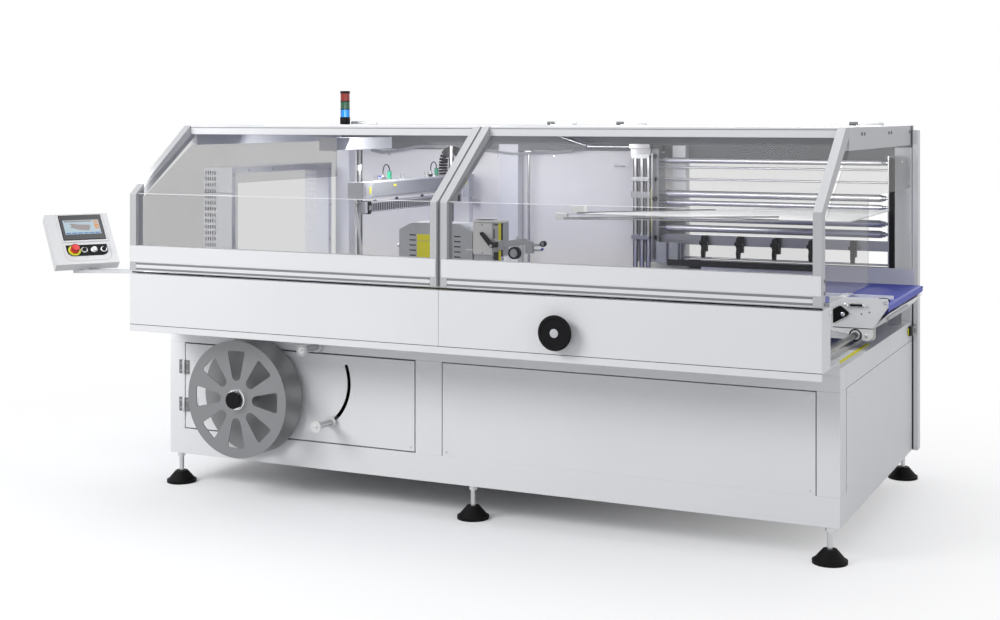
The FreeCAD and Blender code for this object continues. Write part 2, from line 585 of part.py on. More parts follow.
def corner_posts():
    inner = "corner_post_leg - corner_post_out"
    angle = [("0", "0"), ("corner_post_out", "0"), ("corner_post_out", "corner_post_leg"),
             ("-(%s)" % inner, "corner_post_leg"), ("-(%s)" % inner, inner), ("0", inner)]
    mirrored = [("-(%s)" % across, up) for across, up in angle]
    posts = []
    for name, shape, x in (("left", mirrored, "-cover_gauge"),
                           ("right", angle, "body_length + cover_gauge")):
        posts.append(slab(name + "_corner", "XY_Plane", shape, "corner_post_top - base_bottom", x,
                          "base_depth - corner_post_leg + corner_post_out", "base_bottom"))
    node(together("angles", posts), "rear_corner_posts")


# Outfeed portal
def vented_wall(name, corners, y):
    """Portal side sheet with upright air slots: one slot repeated across and down."""
    body = doc.addObject("PartDesign::Body", name)
    pad(body, outline(body, "XZ_Plane", corners), "sheet_gauge", reverse=True)
    doc.recompute()
    top = "portal_top - portal_bottom - vent_drop"
    slot = [("vent_inset", top), ("vent_inset + vent_width", top),
            ("vent_inset + vent_width", top + " - vent_height"), ("vent_inset", top + " - vent_height")]
    hole = outline(body, "XZ_Plane", slot, name + "_vent")
    doc.recompute()
    pocket = through_pocket(body, hole, name + "_pocket")
    doc.recompute()
    grid = body.newObject("PartDesign::MultiTransform", name + "_vents")
    grid.Originals = [pocket]
    steps = []
    for axis, count, gap, flip in (("H_Axis", "vent_columns", "vent_step", False),
                                   ("V_Axis", "vent_rows", "vent_pitch", True)):
        row = body.newObject("PartDesign::LinearPattern", "%s_%s" % (name, count))
        row.Direction = (hole, [axis])
        row.Reversed = flip
        bind(row, "Length", "%s * (%s - 1)" % (gap, count))
        bind(row, "Occurrences", count)
        steps.append(row)
    grid.Transformations = steps
    body.Tip = grid
    return place(body, "-portal_reach - run_gap", y, "portal_bottom")


def portal():
    reach, foot = "portal_reach", "base_top - portal_bottom"
    tall = "portal_top - portal_bottom"
    shape = [("0", "0"), (reach + " + run_gap", "0"), (reach + " + run_gap", foot), (reach, foot),
             (reach, tall), ("0", tall)]
    rear = "base_depth - portal_setback"
    inner_x = "-run_gap - sheet_gauge"
    walls = []
    for name, y, flange_y in (("near", "portal_front", "portal_front + sheet_gauge"),
                              ("far", rear + " - sheet_gauge",
                               rear + " - sheet_gauge - portal_flange")):
        flange = block(name + "_flange", inner_x, flange_y, "belt_top + run_gap", "sheet_gauge",
                       "portal_flange", "portal_top - belt_top - run_gap")
        walls.append(join(name + "_wall", [vented_wall(name + "_sheet", shape, y), flange]))
    node(together("portal_walls", walls), "portal_sides")
    wide = rear + " - portal_front"
    lid = block("portal_lid", "-portal_reach - run_gap", "portal_front", "portal_top", "portal_reach",
                wide, "sheet_gauge")
    lip = block("portal_lip", inner_x, "portal_front + sheet_gauge + portal_flange + seat_gap",
                "portal_top - portal_flange", "sheet_gauge",
                wide + " - 2 * (sheet_gauge + portal_flange + seat_gap)", "portal_flange")
    node(join("lipped_lid", [lid, lip]), "portal_roof")


# Conveyors
def stadium(name, x, y, z, dia, length, width):
    """Flat bar with two round ends, running along x and as wide as the belt."""
    ends = [rod("%s_end%d" % (name, i), "y", ex, y, "%s + (%s) / 2" % (z, dia), dia, width)
            for i, ex in enumerate(("%s + (%s) / 2" % (x, dia), "%s + %s - (%s) / 2" % (x, length, dia)))]
    middle = block(name + "_middle", "%s + (%s) / 2" % (x, dia), y, z, "%s - (%s)" % (length, dia),
                   width, dia)
    return join(name, ends + [middle])


def conveyor(name, x_low, x_high, slant):
    """Endless belt round two noses, and the bed with side sheets that carries it."""
    length = "((%s) - (%s))" % (x_high, x_low)
    x_low = "(%s)" % x_low
    under = "belt_top - nose_dia"
    outer = stadium(name + "_outside", x_low, "belt_front", under, "nose_dia", length, "belt_width")
    inner = stadium(name + "_inside", x_low + " + belt_gauge", "belt_front", under + " + belt_gauge",
                    "nose_dia - 2 * belt_gauge", length + " - 2 * belt_gauge", "belt_width")
    belt = cut(name + "_loop", outer, inner)
    parts = [block(name + "_bed", x_low + " + nose_dia", "belt_front - frame_side_gap",
                   under + " + belt_gauge + seat_gap", length + " - 2 * nose_dia",
                   "belt_width + 2 * frame_side_gap", "nose_dia - 2 * belt_gauge - 2 * seat_gap")]
    side = [("0", "0"), ("%s - %s" % (length, slant), "0"), (length, "frame_drop - slant_drop"),
            (length, "frame_drop"), ("0", "frame_drop")]
    low = "belt_top - frame_drop - belt_gauge"
    sides = ("belt_front - frame_side_gap - frame_gauge", BELT_REAR + " + frame_side_gap")
    for i, y in enumerate(sides):
        parts.append(slab("%s_side%d" % (name, i), "XZ_Plane", side, "frame_gauge", x_low, y, low))
        for k, x in enumerate((x_low + " + leg_inset + leg_pitch",
                               x_low + " + " + length + " - leg_inset - leg_pitch")):
            parts.append(block("%s_leg%d%d" % (name, i, k), x, y, "base_top", "leg_width", "frame_gauge",
                               low + " - base_top"))
    cover = [("%s - %s" % (length, slant), "0"), (length, "frame_drop - nose_dia"),
             ("%s - frame_gauge" % length, "frame_drop - nose_dia"),
             ("%s - %s - frame_gauge" % (length, slant), "0")]
    parts.append(slab(name + "_end_cover", "XZ_Plane", cover, "belt_width + 2 * frame_side_gap", x_low,
                      "belt_front - frame_side_gap", low))
    return belt, join(name + "_frame", parts)


def conveyors():
    infeed = conveyor("infeed", "seal_x + belt_gap / 2", "body_length + infeed_reach",
                      "side_plate_slant")
    outfeed = conveyor("outfeed", "-outfeed_reach", "seal_x - belt_gap / 2", "run_gap")
    node(together("belts", [infeed[0], outfeed[0]]), "conveyor_belts")
    node(together("frames", [infeed[1], outfeed[1]]), "conveyor_frames")


def infeed_guides():
    outside = "belt_front - frame_side_gap - frame_gauge - plate_gauge"
    low, top = "belt_top - side_plate_drop", "belt_top + side_plate_rise"
    right = "body_length + infeed_reach"
    plate = slab("slanted_plate", "XZ_Plane", [
        ("0", "0"), ("side_plate_length - side_plate_slant", "0"),
        ("side_plate_length", "side_plate_drop - slant_drop"),
        ("side_plate_length", "side_plate_drop + side_plate_rise"),
        ("0", "side_plate_drop + side_plate_rise")], "plate_gauge",
        right + " - side_plate_length", outside, low)
    rail_low = "belt_top + guide_rail_low"
    rail = block("front_rail", right + " - run_gap - guide_rail_length", "belt_front + guide_inset",
                 rail_low, "guide_rail_length", "plate_gauge", "guide_rail_height")
    parts = [plate, rail]
    for i, x in enumerate((right + " - side_plate_length + guide_arm",
                           right + " - guide_rail_length + guide_arm")):
        parts.append(block("rail_arm%d" % i, x, outside, top + " - run_gap", "guide_arm",
                           "guide_inset + frame_side_gap + frame_gauge + 2 * plate_gauge", "plate_gauge"))
        parts.append(block("arm_foot%d" % i, x, outside, "belt_top - guide_clip", "guide_arm",
                           "plate_gauge", "guide_clip + side_plate_rise"))
    front = join("front_guide", parts)
    rear = block("rear_guide", "body_length + guide_drop - guide_length",
                 BELT_REAR + " + frame_side_gap + frame_gauge", "belt_top - guide_drop", "guide_length",
                 "frame_gauge", "guide_drop + guide_top")
    node(together("guides", [front, rear]), "infeed_guides")


def infeed_slide():
    """Chrome shaft between two stands, with the carriage that rides it under the side plate."""
    x = "(body_length - slide_setback)"
    front = "-hood_overhang + fascia_depth + seat_gap"
    rear = BELT_REAR + " + frame_side_gap"
    top = "belt_top - frame_drop - belt_gauge - seat_gap"
    shaft = rod("slide_shaft", "y", x, front, "slide_z", "slide_dia", "%s - (%s)" % (rear, front))
    carriage = block("carriage", x + " + carriage_end - carriage_length",
                     "belt_front - frame_side_gap - frame_gauge - plate_gauge", top + " - carriage_low",
                     "carriage_length", "slide_block", "carriage_low")
    stands = [block(name, x + " - slide_dia", y, floor, "2 * slide_dia", "slide_block",
                    "%s - %s" % (top, floor))
              for name, y, floor in (("front_stand", front, "fascia_bottom"),
                                     ("rear_stand", rear, "base_top"))]
    node(join("slide", [shaft, carriage] + stands), "infeed_slide")


# Control console
def on_console(name, parts):
    """Carry pieces laid out on the flat console face to its turned and tilted place."""
    item = together(name, parts)
    x = "-console_reach + %s * sin(console_yaw) - %s" % (LEAN, SHIFT_X)
    y = "console_top_y - console_height * sin(console_tilt) * cos(console_yaw) - %s" % SHIFT_Y
    z = "console_top_z - console_height * cos(console_tilt)"
    bind(item, "Placement", "placement(vector(%s; %s; %s); rotation(console_yaw; 0; -console_tilt))"
         % (x, y, z))
    return item


def on_face(name, kind, sizes, x, y, z):
    """One piece on the flat console face, whose low left corner is the zero."""
    item = doc.addObject(kind, name)
    for prop, text in sizes:
        bind(item, prop, text)
    if kind == "Part::Cylinder":
        item.Placement = FreeCAD.Placement(V(), FreeCAD.Rotation(V(1, 0, 0), 90))
    bind(item, "Placement.Base.x", x)
    bind(item, "Placement.Base.y", y)
    bind(item, "Placement.Base.z", z)
    return item


# Console reach across its tilted face, the middle of its low front edge, and its lowest height
LEAN = "(console_depth * cos(console_tilt) + console_height * sin(console_tilt))"
LOW_EDGE_X = "(-console_reach + %s * sin(console_yaw) + console_width / 2 * cos(console_yaw))" % LEAN
LOW_EDGE_Y = ("(console_top_y - console_height * sin(console_tilt) * cos(console_yaw)"
              " + console_width / 2 * sin(console_yaw))")
ARM_TOP = ("(console_top_z - console_height * cos(console_tilt)"
           " - console_depth * sin(console_tilt) - seat_gap)")
NECK_X = "(%s - neck_setback * sin(console_yaw))" % LOW_EDGE_X
NECK_Y = "(%s + neck_setback * cos(console_yaw))" % LOW_EDGE_Y
ARM_RUN = "(-arm_block / 2 - run_gap - %s)" % NECK_X
ARM_SIDE = "(arm_block_y + arm_block / 2 - %s)" % NECK_Y


def console():
    case = on_face("case_block", "Part::Box", (("Length", "console_width"), ("Width", "console_depth"),
                                               ("Height", "console_height")), 0, 0, 0)
    neck = rod("console_neck", "z", NECK_X, NECK_Y, ARM_TOP, "neck_dia", "neck_height")
    node(join("case_and_neck", [on_console("case_group", [case]), neck]), "console_case")
    screen = on_face("screen_block", "Part::Box", (("Length", "screen_width"), ("Width", "screen_gauge"),
                                                   ("Height", "screen_height")),
                     "screen_left", "-screen_gauge", "console_height - screen_top - screen_height")
    node(on_console("screen_group", [screen]), "console_screen")
    buttons = []
    for i in range(BUTTON_COUNT):
        dia, reach = ("button_dia", "button_reach") if i else ("mushroom_dia", "mushroom_reach")
        size = (("Radius", dia + " / 2"), ("Height", reach))
        buttons.append(on_face("button%d" % i, "Part::Cylinder", size,
                               "screen_left + button_inset + %d * button_pitch" % i, 0,
                               "console_height - button_row"))
    node(on_console("button_group", buttons), "console_buttons")


def console_arm():
    yaw = "atan2(%s; %s)" % (ARM_SIDE, ARM_RUN)
    length = "(sqrt(%s ^ 2 + %s ^ 2) + neck_dia / 2 + neck_setback)" % (ARM_RUN, ARM_SIDE)
    bar = block("arm_bar", "0", "0", "0", length, "arm_width", "arm_height")
    pivot_x, pivot_y = "(-arm_block / 2 - run_gap)", "(arm_block_y + arm_block / 2)"
    x = "%s - %s * cos(%s) + arm_width / 2 * sin(%s)" % (pivot_x, length, yaw, yaw)
    y = "%s - %s * sin(%s) - arm_width / 2 * cos(%s)" % (pivot_y, length, yaw, yaw)
    place(bar, x, y, ARM_TOP + " - arm_height", (0, 0, 1), yaw)
    low = ARM_TOP + " - arm_height"
    pivot = block("arm_pivot", "-arm_block - run_gap", "arm_block_y", low, "arm_block", "arm_block",
                  "arm_block_height")
    bracket = block("arm_bracket", "-arm_block - run_gap", "arm_block_y", "portal_bottom",
                    "arm_block + run_gap", "arm_block", low + " - portal_bottom")
    node(join("arm", [bar, pivot, bracket]), "console_arm")


def tower_light():
    y = "base_depth - beam_depth / 2"
    foot = rod("tower_foot", "z", "tower_x", y, "hood_top", "tower_dia", "tower_base")
    lid = rod("tower_lid", "z", "tower_x", y, "hood_top + tower_base + 3 * tower_segment",
              "tower_dia", "tower_cap")
    node(together("tower_ends", [foot, lid]), "tower_body")
    lenses = []
    for i, colour in enumerate(("blue", "green", "red")):
        lenses.append(rod(colour + "_lens", "z", "tower_x", y,
                          "hood_top + tower_base + %d * tower_segment" % i, "tower_dia - cover_gauge",
                          "tower_segment - %s" % ("0" if i == 2 else "seat_gap")))
    node(together("lens_stack", lenses), "tower_lenses")


# Sealing station
def sealing_station():
    rows = ("column_front", "base_depth - column_setback")
    columns = [rod("column%d" % i, "z", "seal_x", y, "base_top", "column_dia",
                   WALL_HEIGHT + " - column_stop") for i, y in enumerate(rows)]
    node(together("columns", columns), "seal_columns")
    span = "base_depth - column_setback - column_front + 2 * bar_over"
    beam = block("seal_beam", "seal_x - seal_bar_width / 2", "column_front - bar_over", "seal_bar_z",
                 "seal_bar_width", span, "seal_bar_height")
    bores = [rod("bore%d" % i, "z", "seal_x", y, "seal_bar_z", "column_dia + 2 * seat_gap",
                 "seal_bar_height") for i, y in enumerate(rows)]
    node(cut("bored_beam", beam, together("bores", bores)), "seal_bar")
    node(block("comb", "seal_x + column_dia / 2", "column_front - bar_over", "comb_z", "comb_width", span,
               "comb_height"), "comb_bar")


def seal_plugs():
    """Two plugs on the beam, each with a lead looped back into a socket beside it."""
    top = "(seal_bar_z + seal_bar_height + seat_gap)"
    left = "seal_x - plug_width / 2"
    pairs = []
    for i in range(2):
        y = "(column_front + plug_first + %d * plug_pitch)" % i
        back = "(%s - 2 * lead_radius)" % y
        plug = block("plug%d" % i, left, y + " - plug_width / 2", top, "plug_width", "plug_width",
                     "plug_height")
        socket = block("socket%d" % i, left, back + " - plug_width / 2", top, "plug_width",
                       "plug_width", "socket_height")
        post = rod("lead_end%d" % i, "z", "seal_x", back, top + " + socket_height", "lead_dia",
                   "plug_height - socket_height")
        loop = doc.addObject("Part::Torus", "lead_loop%d" % i)
        bind(loop, "Radius1", "lead_radius")
        bind(loop, "Radius2", "lead_dia / 2")
        bind(loop, "Angle3", "180")
        place(loop, "seal_x", y + " - lead_radius", top + " + plug_height", (1, 1, 1), "120")
        pairs.append(join("plug_pair%d" % i, [plug, socket, post, loop]))
    node(together("plug_pairs", pairs), "seal_plugs")


def side_sealer():
    tall = "guard_top - base_top"
    guard = slab("guard_box", "XZ_Plane", [
        ("0", "0"), ("guard_width", "0"), ("guard_width", tall + " - guard_chamfer / 2"),
        ("guard_width - guard_chamfer", tall), ("guard_chamfer", tall),
        ("0", tall + " - guard_chamfer / 2")], "guard_depth", "guard_x", "guard_y", "base_top")
    unit = block("unit_box", "guard_x + guard_width + unit_gap", "guard_y", "base_top", "unit_width",
                 "unit_depth", "unit_top - base_top")
    node(together("sealer_boxes", [guard, unit]), "side_sealer")


# Film path at the rear window
ROLLER_Y = "(base_depth - roller_setback)"
ROLLERS = (("slim_roller", "top_roller_z"), ("wide_roller", "long_roller_z"),
           ("slim_roller", "slim_roller_z"), ("wide_roller", "upper_pair_z"),
           ("wide_roller", "lower_pair_z"), ("film_rod", "top_rod_z"), ("film_rod", "middle_rod_z"),
           ("film_rod", "low_rod_z"))


def film_path():
    left = "roller_left + plate_gauge"
    right = RIGHT_UPRIGHT + " - plate_gauge"
    span = "%s - (%s)" % (right, left)
    rollers = []
    for i, (dia, z) in enumerate(ROLLERS):
        if dia == "film_rod":
            rollers.append(rod("film_rod%d" % i, "x", left, ROLLER_Y, z, dia, span))
        else:
            tube = rod("roller_tube%d" % i, "x", left + " + journal_length", ROLLER_Y, z, dia,
                       span + " - 2 * journal_length")
            journal = rod("roller_journal%d" % i, "x", left, ROLLER_Y, z, "journal_dia", span)
            rollers.append(join("film_roller%d" % i, [tube, journal]))
    node(together("rollers", rollers), "film_rollers")
    plates = [block("roller_plate%d" % i, x, "base_depth - roller_plate_setback", "roller_plate_low",
                    "plate_gauge", "roller_plate_setback - wall_gauge",
                    "roller_plate_top - roller_plate_low")
              for i, x in enumerate(("roller_left", right))]
    node(together("side_plates", plates), "roller_plates")
    rail_y = ROLLER_Y + " - clamp_rail_depth / 2"
    node(block("clamp_bar", left, rail_y, "clamp_rail_z", span, "clamp_rail_depth",
               "clamp_rail_height"), "clamp_rail")
    pitch = "(%s - clamp_first - clamp_last - clamp_width) / (clamp_count - 1)" % span
    clamps = [block("clamp%d" % i, "%s + clamp_first + %d * (%s)" % (left, i, pitch),
                    rail_y + " - clamp_width", "clamp_rail_z - clamp_drop + clamp_rail_height",
                    "clamp_width", "clamp_width", "clamp_drop") for i in range(CLAMP_COUNT)]
    node(together("clamps", clamps), "film_clamps")


def rod_cluster():
    y = "base_depth - rod_cluster_setback"
    first = "rod_cluster_x - rod_pitch / 2"
    parts = [rod("upright_rod%d" % i, "z", "rod_cluster_x + %d * rod_pitch" % i, y, "base_top", "rod_dia",
                 "rod_top - base_top") for i in range(3)]
    parts.append(block("rod_clamp", first, y + " - rod_pitch / 2", "rod_clamp_z", "3 * rod_pitch",
                       "rod_pitch", "rod_clamp_height"))
    parts.append(block("rod_bracket", first, y + " - rod_pitch / 2", "rod_top - rod_clamp_height",
                       "3 * rod_pitch", "rod_cluster_setback + rod_pitch / 2 - wall_gauge",
                       "rod_clamp_height"))
    node(join("cluster", parts), "film_columns")


def film_former():
    right = RIGHT_UPRIGHT + " - plate_gauge - former_left"
    back = "base_depth - former_setback - former_front"
    plate = slab("folding_plate", "XY_Plane", [
        ("0", "0"), (right, "0"), (right, back), (back, back)], "former_gauge", "former_left",
        "former_front", "former_z")
    tip = block("former_tip", "former_left + former_block / 2", "former_front",
                "former_z + former_gauge", "former_block", "former_block / 2", "former_block_height")
    node(join("former", [plate, tip]), "film_former")


CLAMP_COUNT = dict(SIZES)["clamp_count"]
feet()
cabinet()
service_door()
film_guides()
reel()
ledge_and_fascia()
handwheel()
hood("left")
hood("right")
rear_beam()
rear_structure()
corner_posts()
console()
console_arm()
portal()
conveyors()
infeed_guides()
infeed_slide()
tower_light()
sealing_station()
seal_plugs()
side_sealer()
film_path()
rod_cluster()
film_former()
doc.recompute()

for item in doc.Objects:
    if "Invalid" in item.State or "Error" in item.State:
        raise RuntimeError("%s did not compute" % item.Label)
for item in nodes:
    if item.Shape.isNull() or not item.Shape.isValid():
        raise RuntimeError("%s has no sound shape" % item.Label)
os.makedirs("parts", exist_ok=True)
for item in nodes:
    item.Shape.exportStep("parts/%s.step" % item.Label)
print(len(nodes), "sub-parts written")
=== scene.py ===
# %% [markdown]
# # A continuous sealing machine, dressed for its portrait
# The solids of the machine come in as a fixed frame, already at their real size. This file gives
# them their paint, glass and metal, and adds the small things that a maker would fit last: screws,
# louvres, rollers' journals, lamps and switches. Each step says what the piece is on the machine,
# how it could be made in Blender, and why it was made this way.

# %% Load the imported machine
import bpy
import bmesh
import math
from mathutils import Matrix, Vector


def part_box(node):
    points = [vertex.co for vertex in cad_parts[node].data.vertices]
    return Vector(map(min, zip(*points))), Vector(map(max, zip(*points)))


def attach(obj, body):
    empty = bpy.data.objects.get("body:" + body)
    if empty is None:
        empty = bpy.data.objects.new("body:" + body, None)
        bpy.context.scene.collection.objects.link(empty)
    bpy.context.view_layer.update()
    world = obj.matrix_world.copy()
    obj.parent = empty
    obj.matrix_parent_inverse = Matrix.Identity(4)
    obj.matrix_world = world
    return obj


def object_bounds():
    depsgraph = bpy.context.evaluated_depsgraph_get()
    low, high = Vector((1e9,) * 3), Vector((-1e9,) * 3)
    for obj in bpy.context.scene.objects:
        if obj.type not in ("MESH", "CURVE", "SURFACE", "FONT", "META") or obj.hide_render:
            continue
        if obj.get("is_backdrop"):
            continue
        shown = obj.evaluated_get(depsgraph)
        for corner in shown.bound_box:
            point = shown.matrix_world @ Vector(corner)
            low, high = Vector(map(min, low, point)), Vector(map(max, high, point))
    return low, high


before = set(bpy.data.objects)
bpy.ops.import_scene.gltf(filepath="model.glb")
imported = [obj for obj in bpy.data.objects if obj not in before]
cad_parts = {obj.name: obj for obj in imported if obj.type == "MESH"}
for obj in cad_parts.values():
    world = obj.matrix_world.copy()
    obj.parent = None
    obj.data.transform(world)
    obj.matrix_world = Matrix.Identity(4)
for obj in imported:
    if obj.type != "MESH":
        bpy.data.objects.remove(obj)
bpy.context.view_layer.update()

# %% [markdown]
# ## One ruler for the whole machine
# A fitter measures from a corner that never moves. Here it is the cabinet's left front corner on
# the floor, and every later measure is in millimetres from it: along the machine, back from the
# cabinet's face, and up from the floor. Typing metres in the model's own axes would work too, but
# a reader could not check them against a tape measure.

# %% The ruler
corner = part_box("cabinet_long_rails")[0]
MM = 0.001


def at(along, back, up):
    """A point in the model, from millimetres off the cabinet's left front floor corner."""
    return Vector((corner.x + along * MM, corner.y + back * MM, up * MM))


def off_corner(spot):
    """Millimetres on the ruler, of a point in the model."""
    return (spot - Vector((corner.x, corner.y, 0))) / MM


def reach(node):
    """Low and high corner of a solid, in the ruler's millimetres."""
    low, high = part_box(node)
    return off_corner(low), off_corner(high)


print("cabinet is", [round(v) for v in reach("cabinet_long_rails")[1]], "mm")

# %% [markdown]
# ## Camera
# The photograph was taken from the right front, at about a standing person's eye height, with the
# camera level. A level camera keeps upright edges upright, so the picture was framed by shifting
# the lens and not by tilting. Blender's Shift does the same thing.

# %% Place the camera
EYE_SPOT, TURN_LEFT = (4104.5, -5344.5, 1587), 25.225
lens = bpy.data.cameras.new("portrait_lens")
lens.sensor_width = 36
lens.lens = 54.4
lens.shift_y = -0.1928
camera = bpy.data.objects.new("portrait_camera", lens)
camera.location = at(*EYE_SPOT)
camera.rotation_euler = (math.radians(90), 0, math.radians(TURN_LEFT))
bpy.context.scene.collection.objects.link(camera)
bpy.context.scene.camera = camera
print("camera stands", round(camera.location.length, 2), "m away")

# %% [markdown]
# ## Floor and studio air
# The machine stands on a pale seamless floor. One big sheet would do, but its far edge would draw a
# line across the picture, so the floor's paint turns into plain white light as it goes away from
# the machine. The world is soft grey as a lamp and white as a background, which the Light Path node
# tells apart, so that chrome and glass see the same white room as the camera.

# %% Which rays see the white room
def blank(name):
    """A new material, with its nodes and the wires between them."""
    material = bpy.data.materials.new(name)
    material.use_nodes = True
    return material, material.node_tree.nodes, material.node_tree.links


def settle(node, **values):
    """Type values into a node's sockets. An underscore stands for a space in a socket's name."""
    for socket, value in values.items():
        node.inputs[socket.replace("_", " ")].default_value = value
    return node


def join(wires, *runs):
    """Run wires: each from a node's output to the next node's input."""
    for one, output, other, socket in runs:
        wires.new(one.outputs[output], other.inputs[socket])


def seen_rays(nodes, wires):
    """1 for what the camera sees directly, in a mirror or through a window, and 0 for lighting."""
    rays = nodes.new("ShaderNodeLightPath")
    total = rays.outputs["Is Camera Ray"]
    for ray in ("Is Transmission Ray", "Is Glossy Ray"):
        larger = nodes.new("ShaderNodeMath")
        larger.operation = "MAXIMUM"
        wires.new(total, larger.inputs[0])
        wires.new(rays.outputs[ray], larger.inputs[1])
        total = larger.outputs["Value"]
    return total


print("white room is seen by camera, mirror and window rays")

# %% The floor
floor_mesh = bpy.data.meshes.new("studio_floor")
bench = bmesh.new()
bmesh.ops.create_grid(bench, x_segments=1, y_segments=1, size=60)
bench.to_mesh(floor_mesh)
bench.free()
floor = bpy.data.objects.new("studio_floor", floor_mesh)
bpy.context.scene.collection.objects.link(floor)
floor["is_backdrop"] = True

paper, nodes, wires = blank("studio_paper")
sheet = nodes["Principled BSDF"]
paper_tone = settle(nodes.new("ShaderNodeMixRGB"), Color1=(0.58, 0.58, 0.585, 1),
                    Color2=(0.97, 0.97, 0.975, 1))
wires.new(seen_rays(nodes, wires), paper_tone.inputs["Fac"])
join(wires, (paper_tone, "Color", sheet, "Base Color"))
settle(sheet, Roughness=0.9)
far_white = nodes.new("ShaderNodeEmission")
place = nodes.new("ShaderNodeTexCoord")
distance = nodes.new("ShaderNodeVectorMath")
distance.operation = "LENGTH"
fade = nodes.new("ShaderNodeMapRange")
fade.interpolation_type = "SMOOTHSTEP"
settle(fade, From_Min=0.3, From_Max=3.6)
blend = nodes.new("ShaderNodeMixShader")
join(wires, (place, "Object", distance, 0), (distance, "Value", fade, "Value"))
seen_white = nodes.new("ShaderNodeMath")
seen_white.operation = "MULTIPLY"
join(wires, (fade, "Result", seen_white, 0))
wires.new(seen_rays(nodes, wires), seen_white.inputs[1])
join(wires, (seen_white, "Value", blend, "Fac"), (sheet, "BSDF", blend, 1),
     (far_white, "Emission", blend, 2))
wires.new(blend.outputs["Shader"], nodes["Material Output"].inputs["Surface"])
floor_mesh.materials.append(paper)
print("floor paper fades to white from 0.3 m to 3.6 m out")

# %% The air around the machine
world = bpy.data.worlds.new("studio_air")
bpy.context.scene.world = world
world.use_nodes = True
nodes, wires = world.node_tree.nodes, world.node_tree.links
nodes.clear()
lamp_air = settle(nodes.new("ShaderNodeBackground"), Color=(0.93, 0.95, 1.0, 1), Strength=0.50)
white_air = settle(nodes.new("ShaderNodeBackground"), Color=(1, 1, 1, 1))
choose = nodes.new("ShaderNodeMixShader")
out = nodes.new("ShaderNodeOutputWorld")
wires.new(seen_rays(nodes, wires), choose.inputs["Fac"])
join(wires, (lamp_air, "Background", choose, 1), (white_air, "Background", choose, 2),
     (choose, "Shader", out, "Surface"))
bpy.context.scene.view_settings.view_transform = "Standard"
print("air gives", lamp_air.inputs["Strength"].default_value, "of white as light")

# %% [markdown]
# ## Lamps
# Product photographs of machines are lit by large soft boxes, so that white paint keeps its edges
# without hard shadows. A key stands high at the front left, a weaker fill at the right end, and a
# long box hangs overhead. Two small ones hide under the hoods and a third in the portal, because
# the tinted sheet and the roof keep the studio's light out, and the photograph shows the inside
# nearly as bright as the paint.

# %% Hang the soft boxes
def soft_box(name, spot, aim, size, watts):
    data = bpy.data.lights.new(name, "AREA")
    data.shape = "RECTANGLE"
    data.size, data.size_y = size
    data.energy = watts
    lamp = bpy.data.objects.new(name, data)
    lamp.location = spot
    lamp.rotation_euler = (Vector(aim) - Vector(spot)).to_track_quat("-Z", "Y").to_euler()
    lamp.visible_camera = False
    bpy.context.scene.collection.objects.link(lamp)


soft_box("key_box", (-3.4, -5.2, 4.2), (0, 0, 0.8), (3.5, 2.5), 262)
soft_box("fill_box", (5.2, -2.8, 2.6), (1, 0, 0.8), (2.5, 2.0), 25)
soft_box("top_box", (0.2, 0.6, 4.4), (0, 0.3, 0.8), (4.5, 1.8), 60)
soft_box("back_box", (1.0, 4.2, 2.6), (0.4, 0.6, 1.1), (3.5, 1.6), 50)
for name, middle, watts in (("left_inner_box", -0.33, 14), ("right_inner_box", 1.12, 8)):
    soft_box(name, (middle, -0.10, 1.49), (middle, 0.55, 0.95), (1.2, 0.35), watts)
soft_box("portal_box", (-1.14, -0.80, 1.12), (-1.14, 0.0, 1.10), (0.3, 0.5), 2.5)

# %% [markdown]
# ## Finishes
# The machine has few finishes: powder coat in white and grey, satin anodised profiles, rolled and
# polished steel, tinted sheet, a woven belt cover and moulded black plastic. Each is made once, as
# a Principled surface with its own grain. The grain comes from noise measured in metres, so it has
# the same size on every piece. An image of paint would need unwrapping and would blur close up.

# %% A grained surface
def grained(name, colour, rough, metal=0.0, grain=900, lift=0.06, mottle=0.03, stretch=(1, 1, 1),
            shine=0.5):
    """Material with fine bumps, uneven gloss and a faint drift in colour."""
    material, nodes, wires = blank(name)
    surface = settle(nodes["Principled BSDF"], Metallic=metal, Specular_IOR_Level=shine)
    where = nodes.new("ShaderNodeTexCoord")
    stretched = settle(nodes.new("ShaderNodeMapping"), Scale=stretch)
    fine = settle(nodes.new("ShaderNodeTexNoise"), Scale=grain, Detail=2.0)
    broad = settle(nodes.new("ShaderNodeTexNoise"), Scale=2.2, Detail=3.0)
    tone = settle(nodes.new("ShaderNodeMixRGB"), Color1=(*[c * (1 - mottle) for c in colour], 1),
                  Color2=(*[min(1, c * (1 + mottle)) for c in colour], 1))
    gloss = settle(nodes.new("ShaderNodeMapRange"), To_Min=max(0.02, rough - 0.06),
                   To_Max=min(1.0, rough + 0.06))
    bumps = settle(nodes.new("ShaderNodeBump"), Strength=lift, Distance=0.0004)
    join(wires, (where, "Object", stretched, "Vector"), (stretched, "Vector", fine, "Vector"),
         (where, "Object", broad, "Vector"), (broad, "Fac", tone, "Fac"),
         (tone, "Color", surface, "Base Color"), (fine, "Fac", gloss, "Value"),
         (gloss, "Result", surface, "Roughness"), (fine, "Fac", bumps, "Height"),
         (bumps, "Normal", surface, "Normal"))
    return material


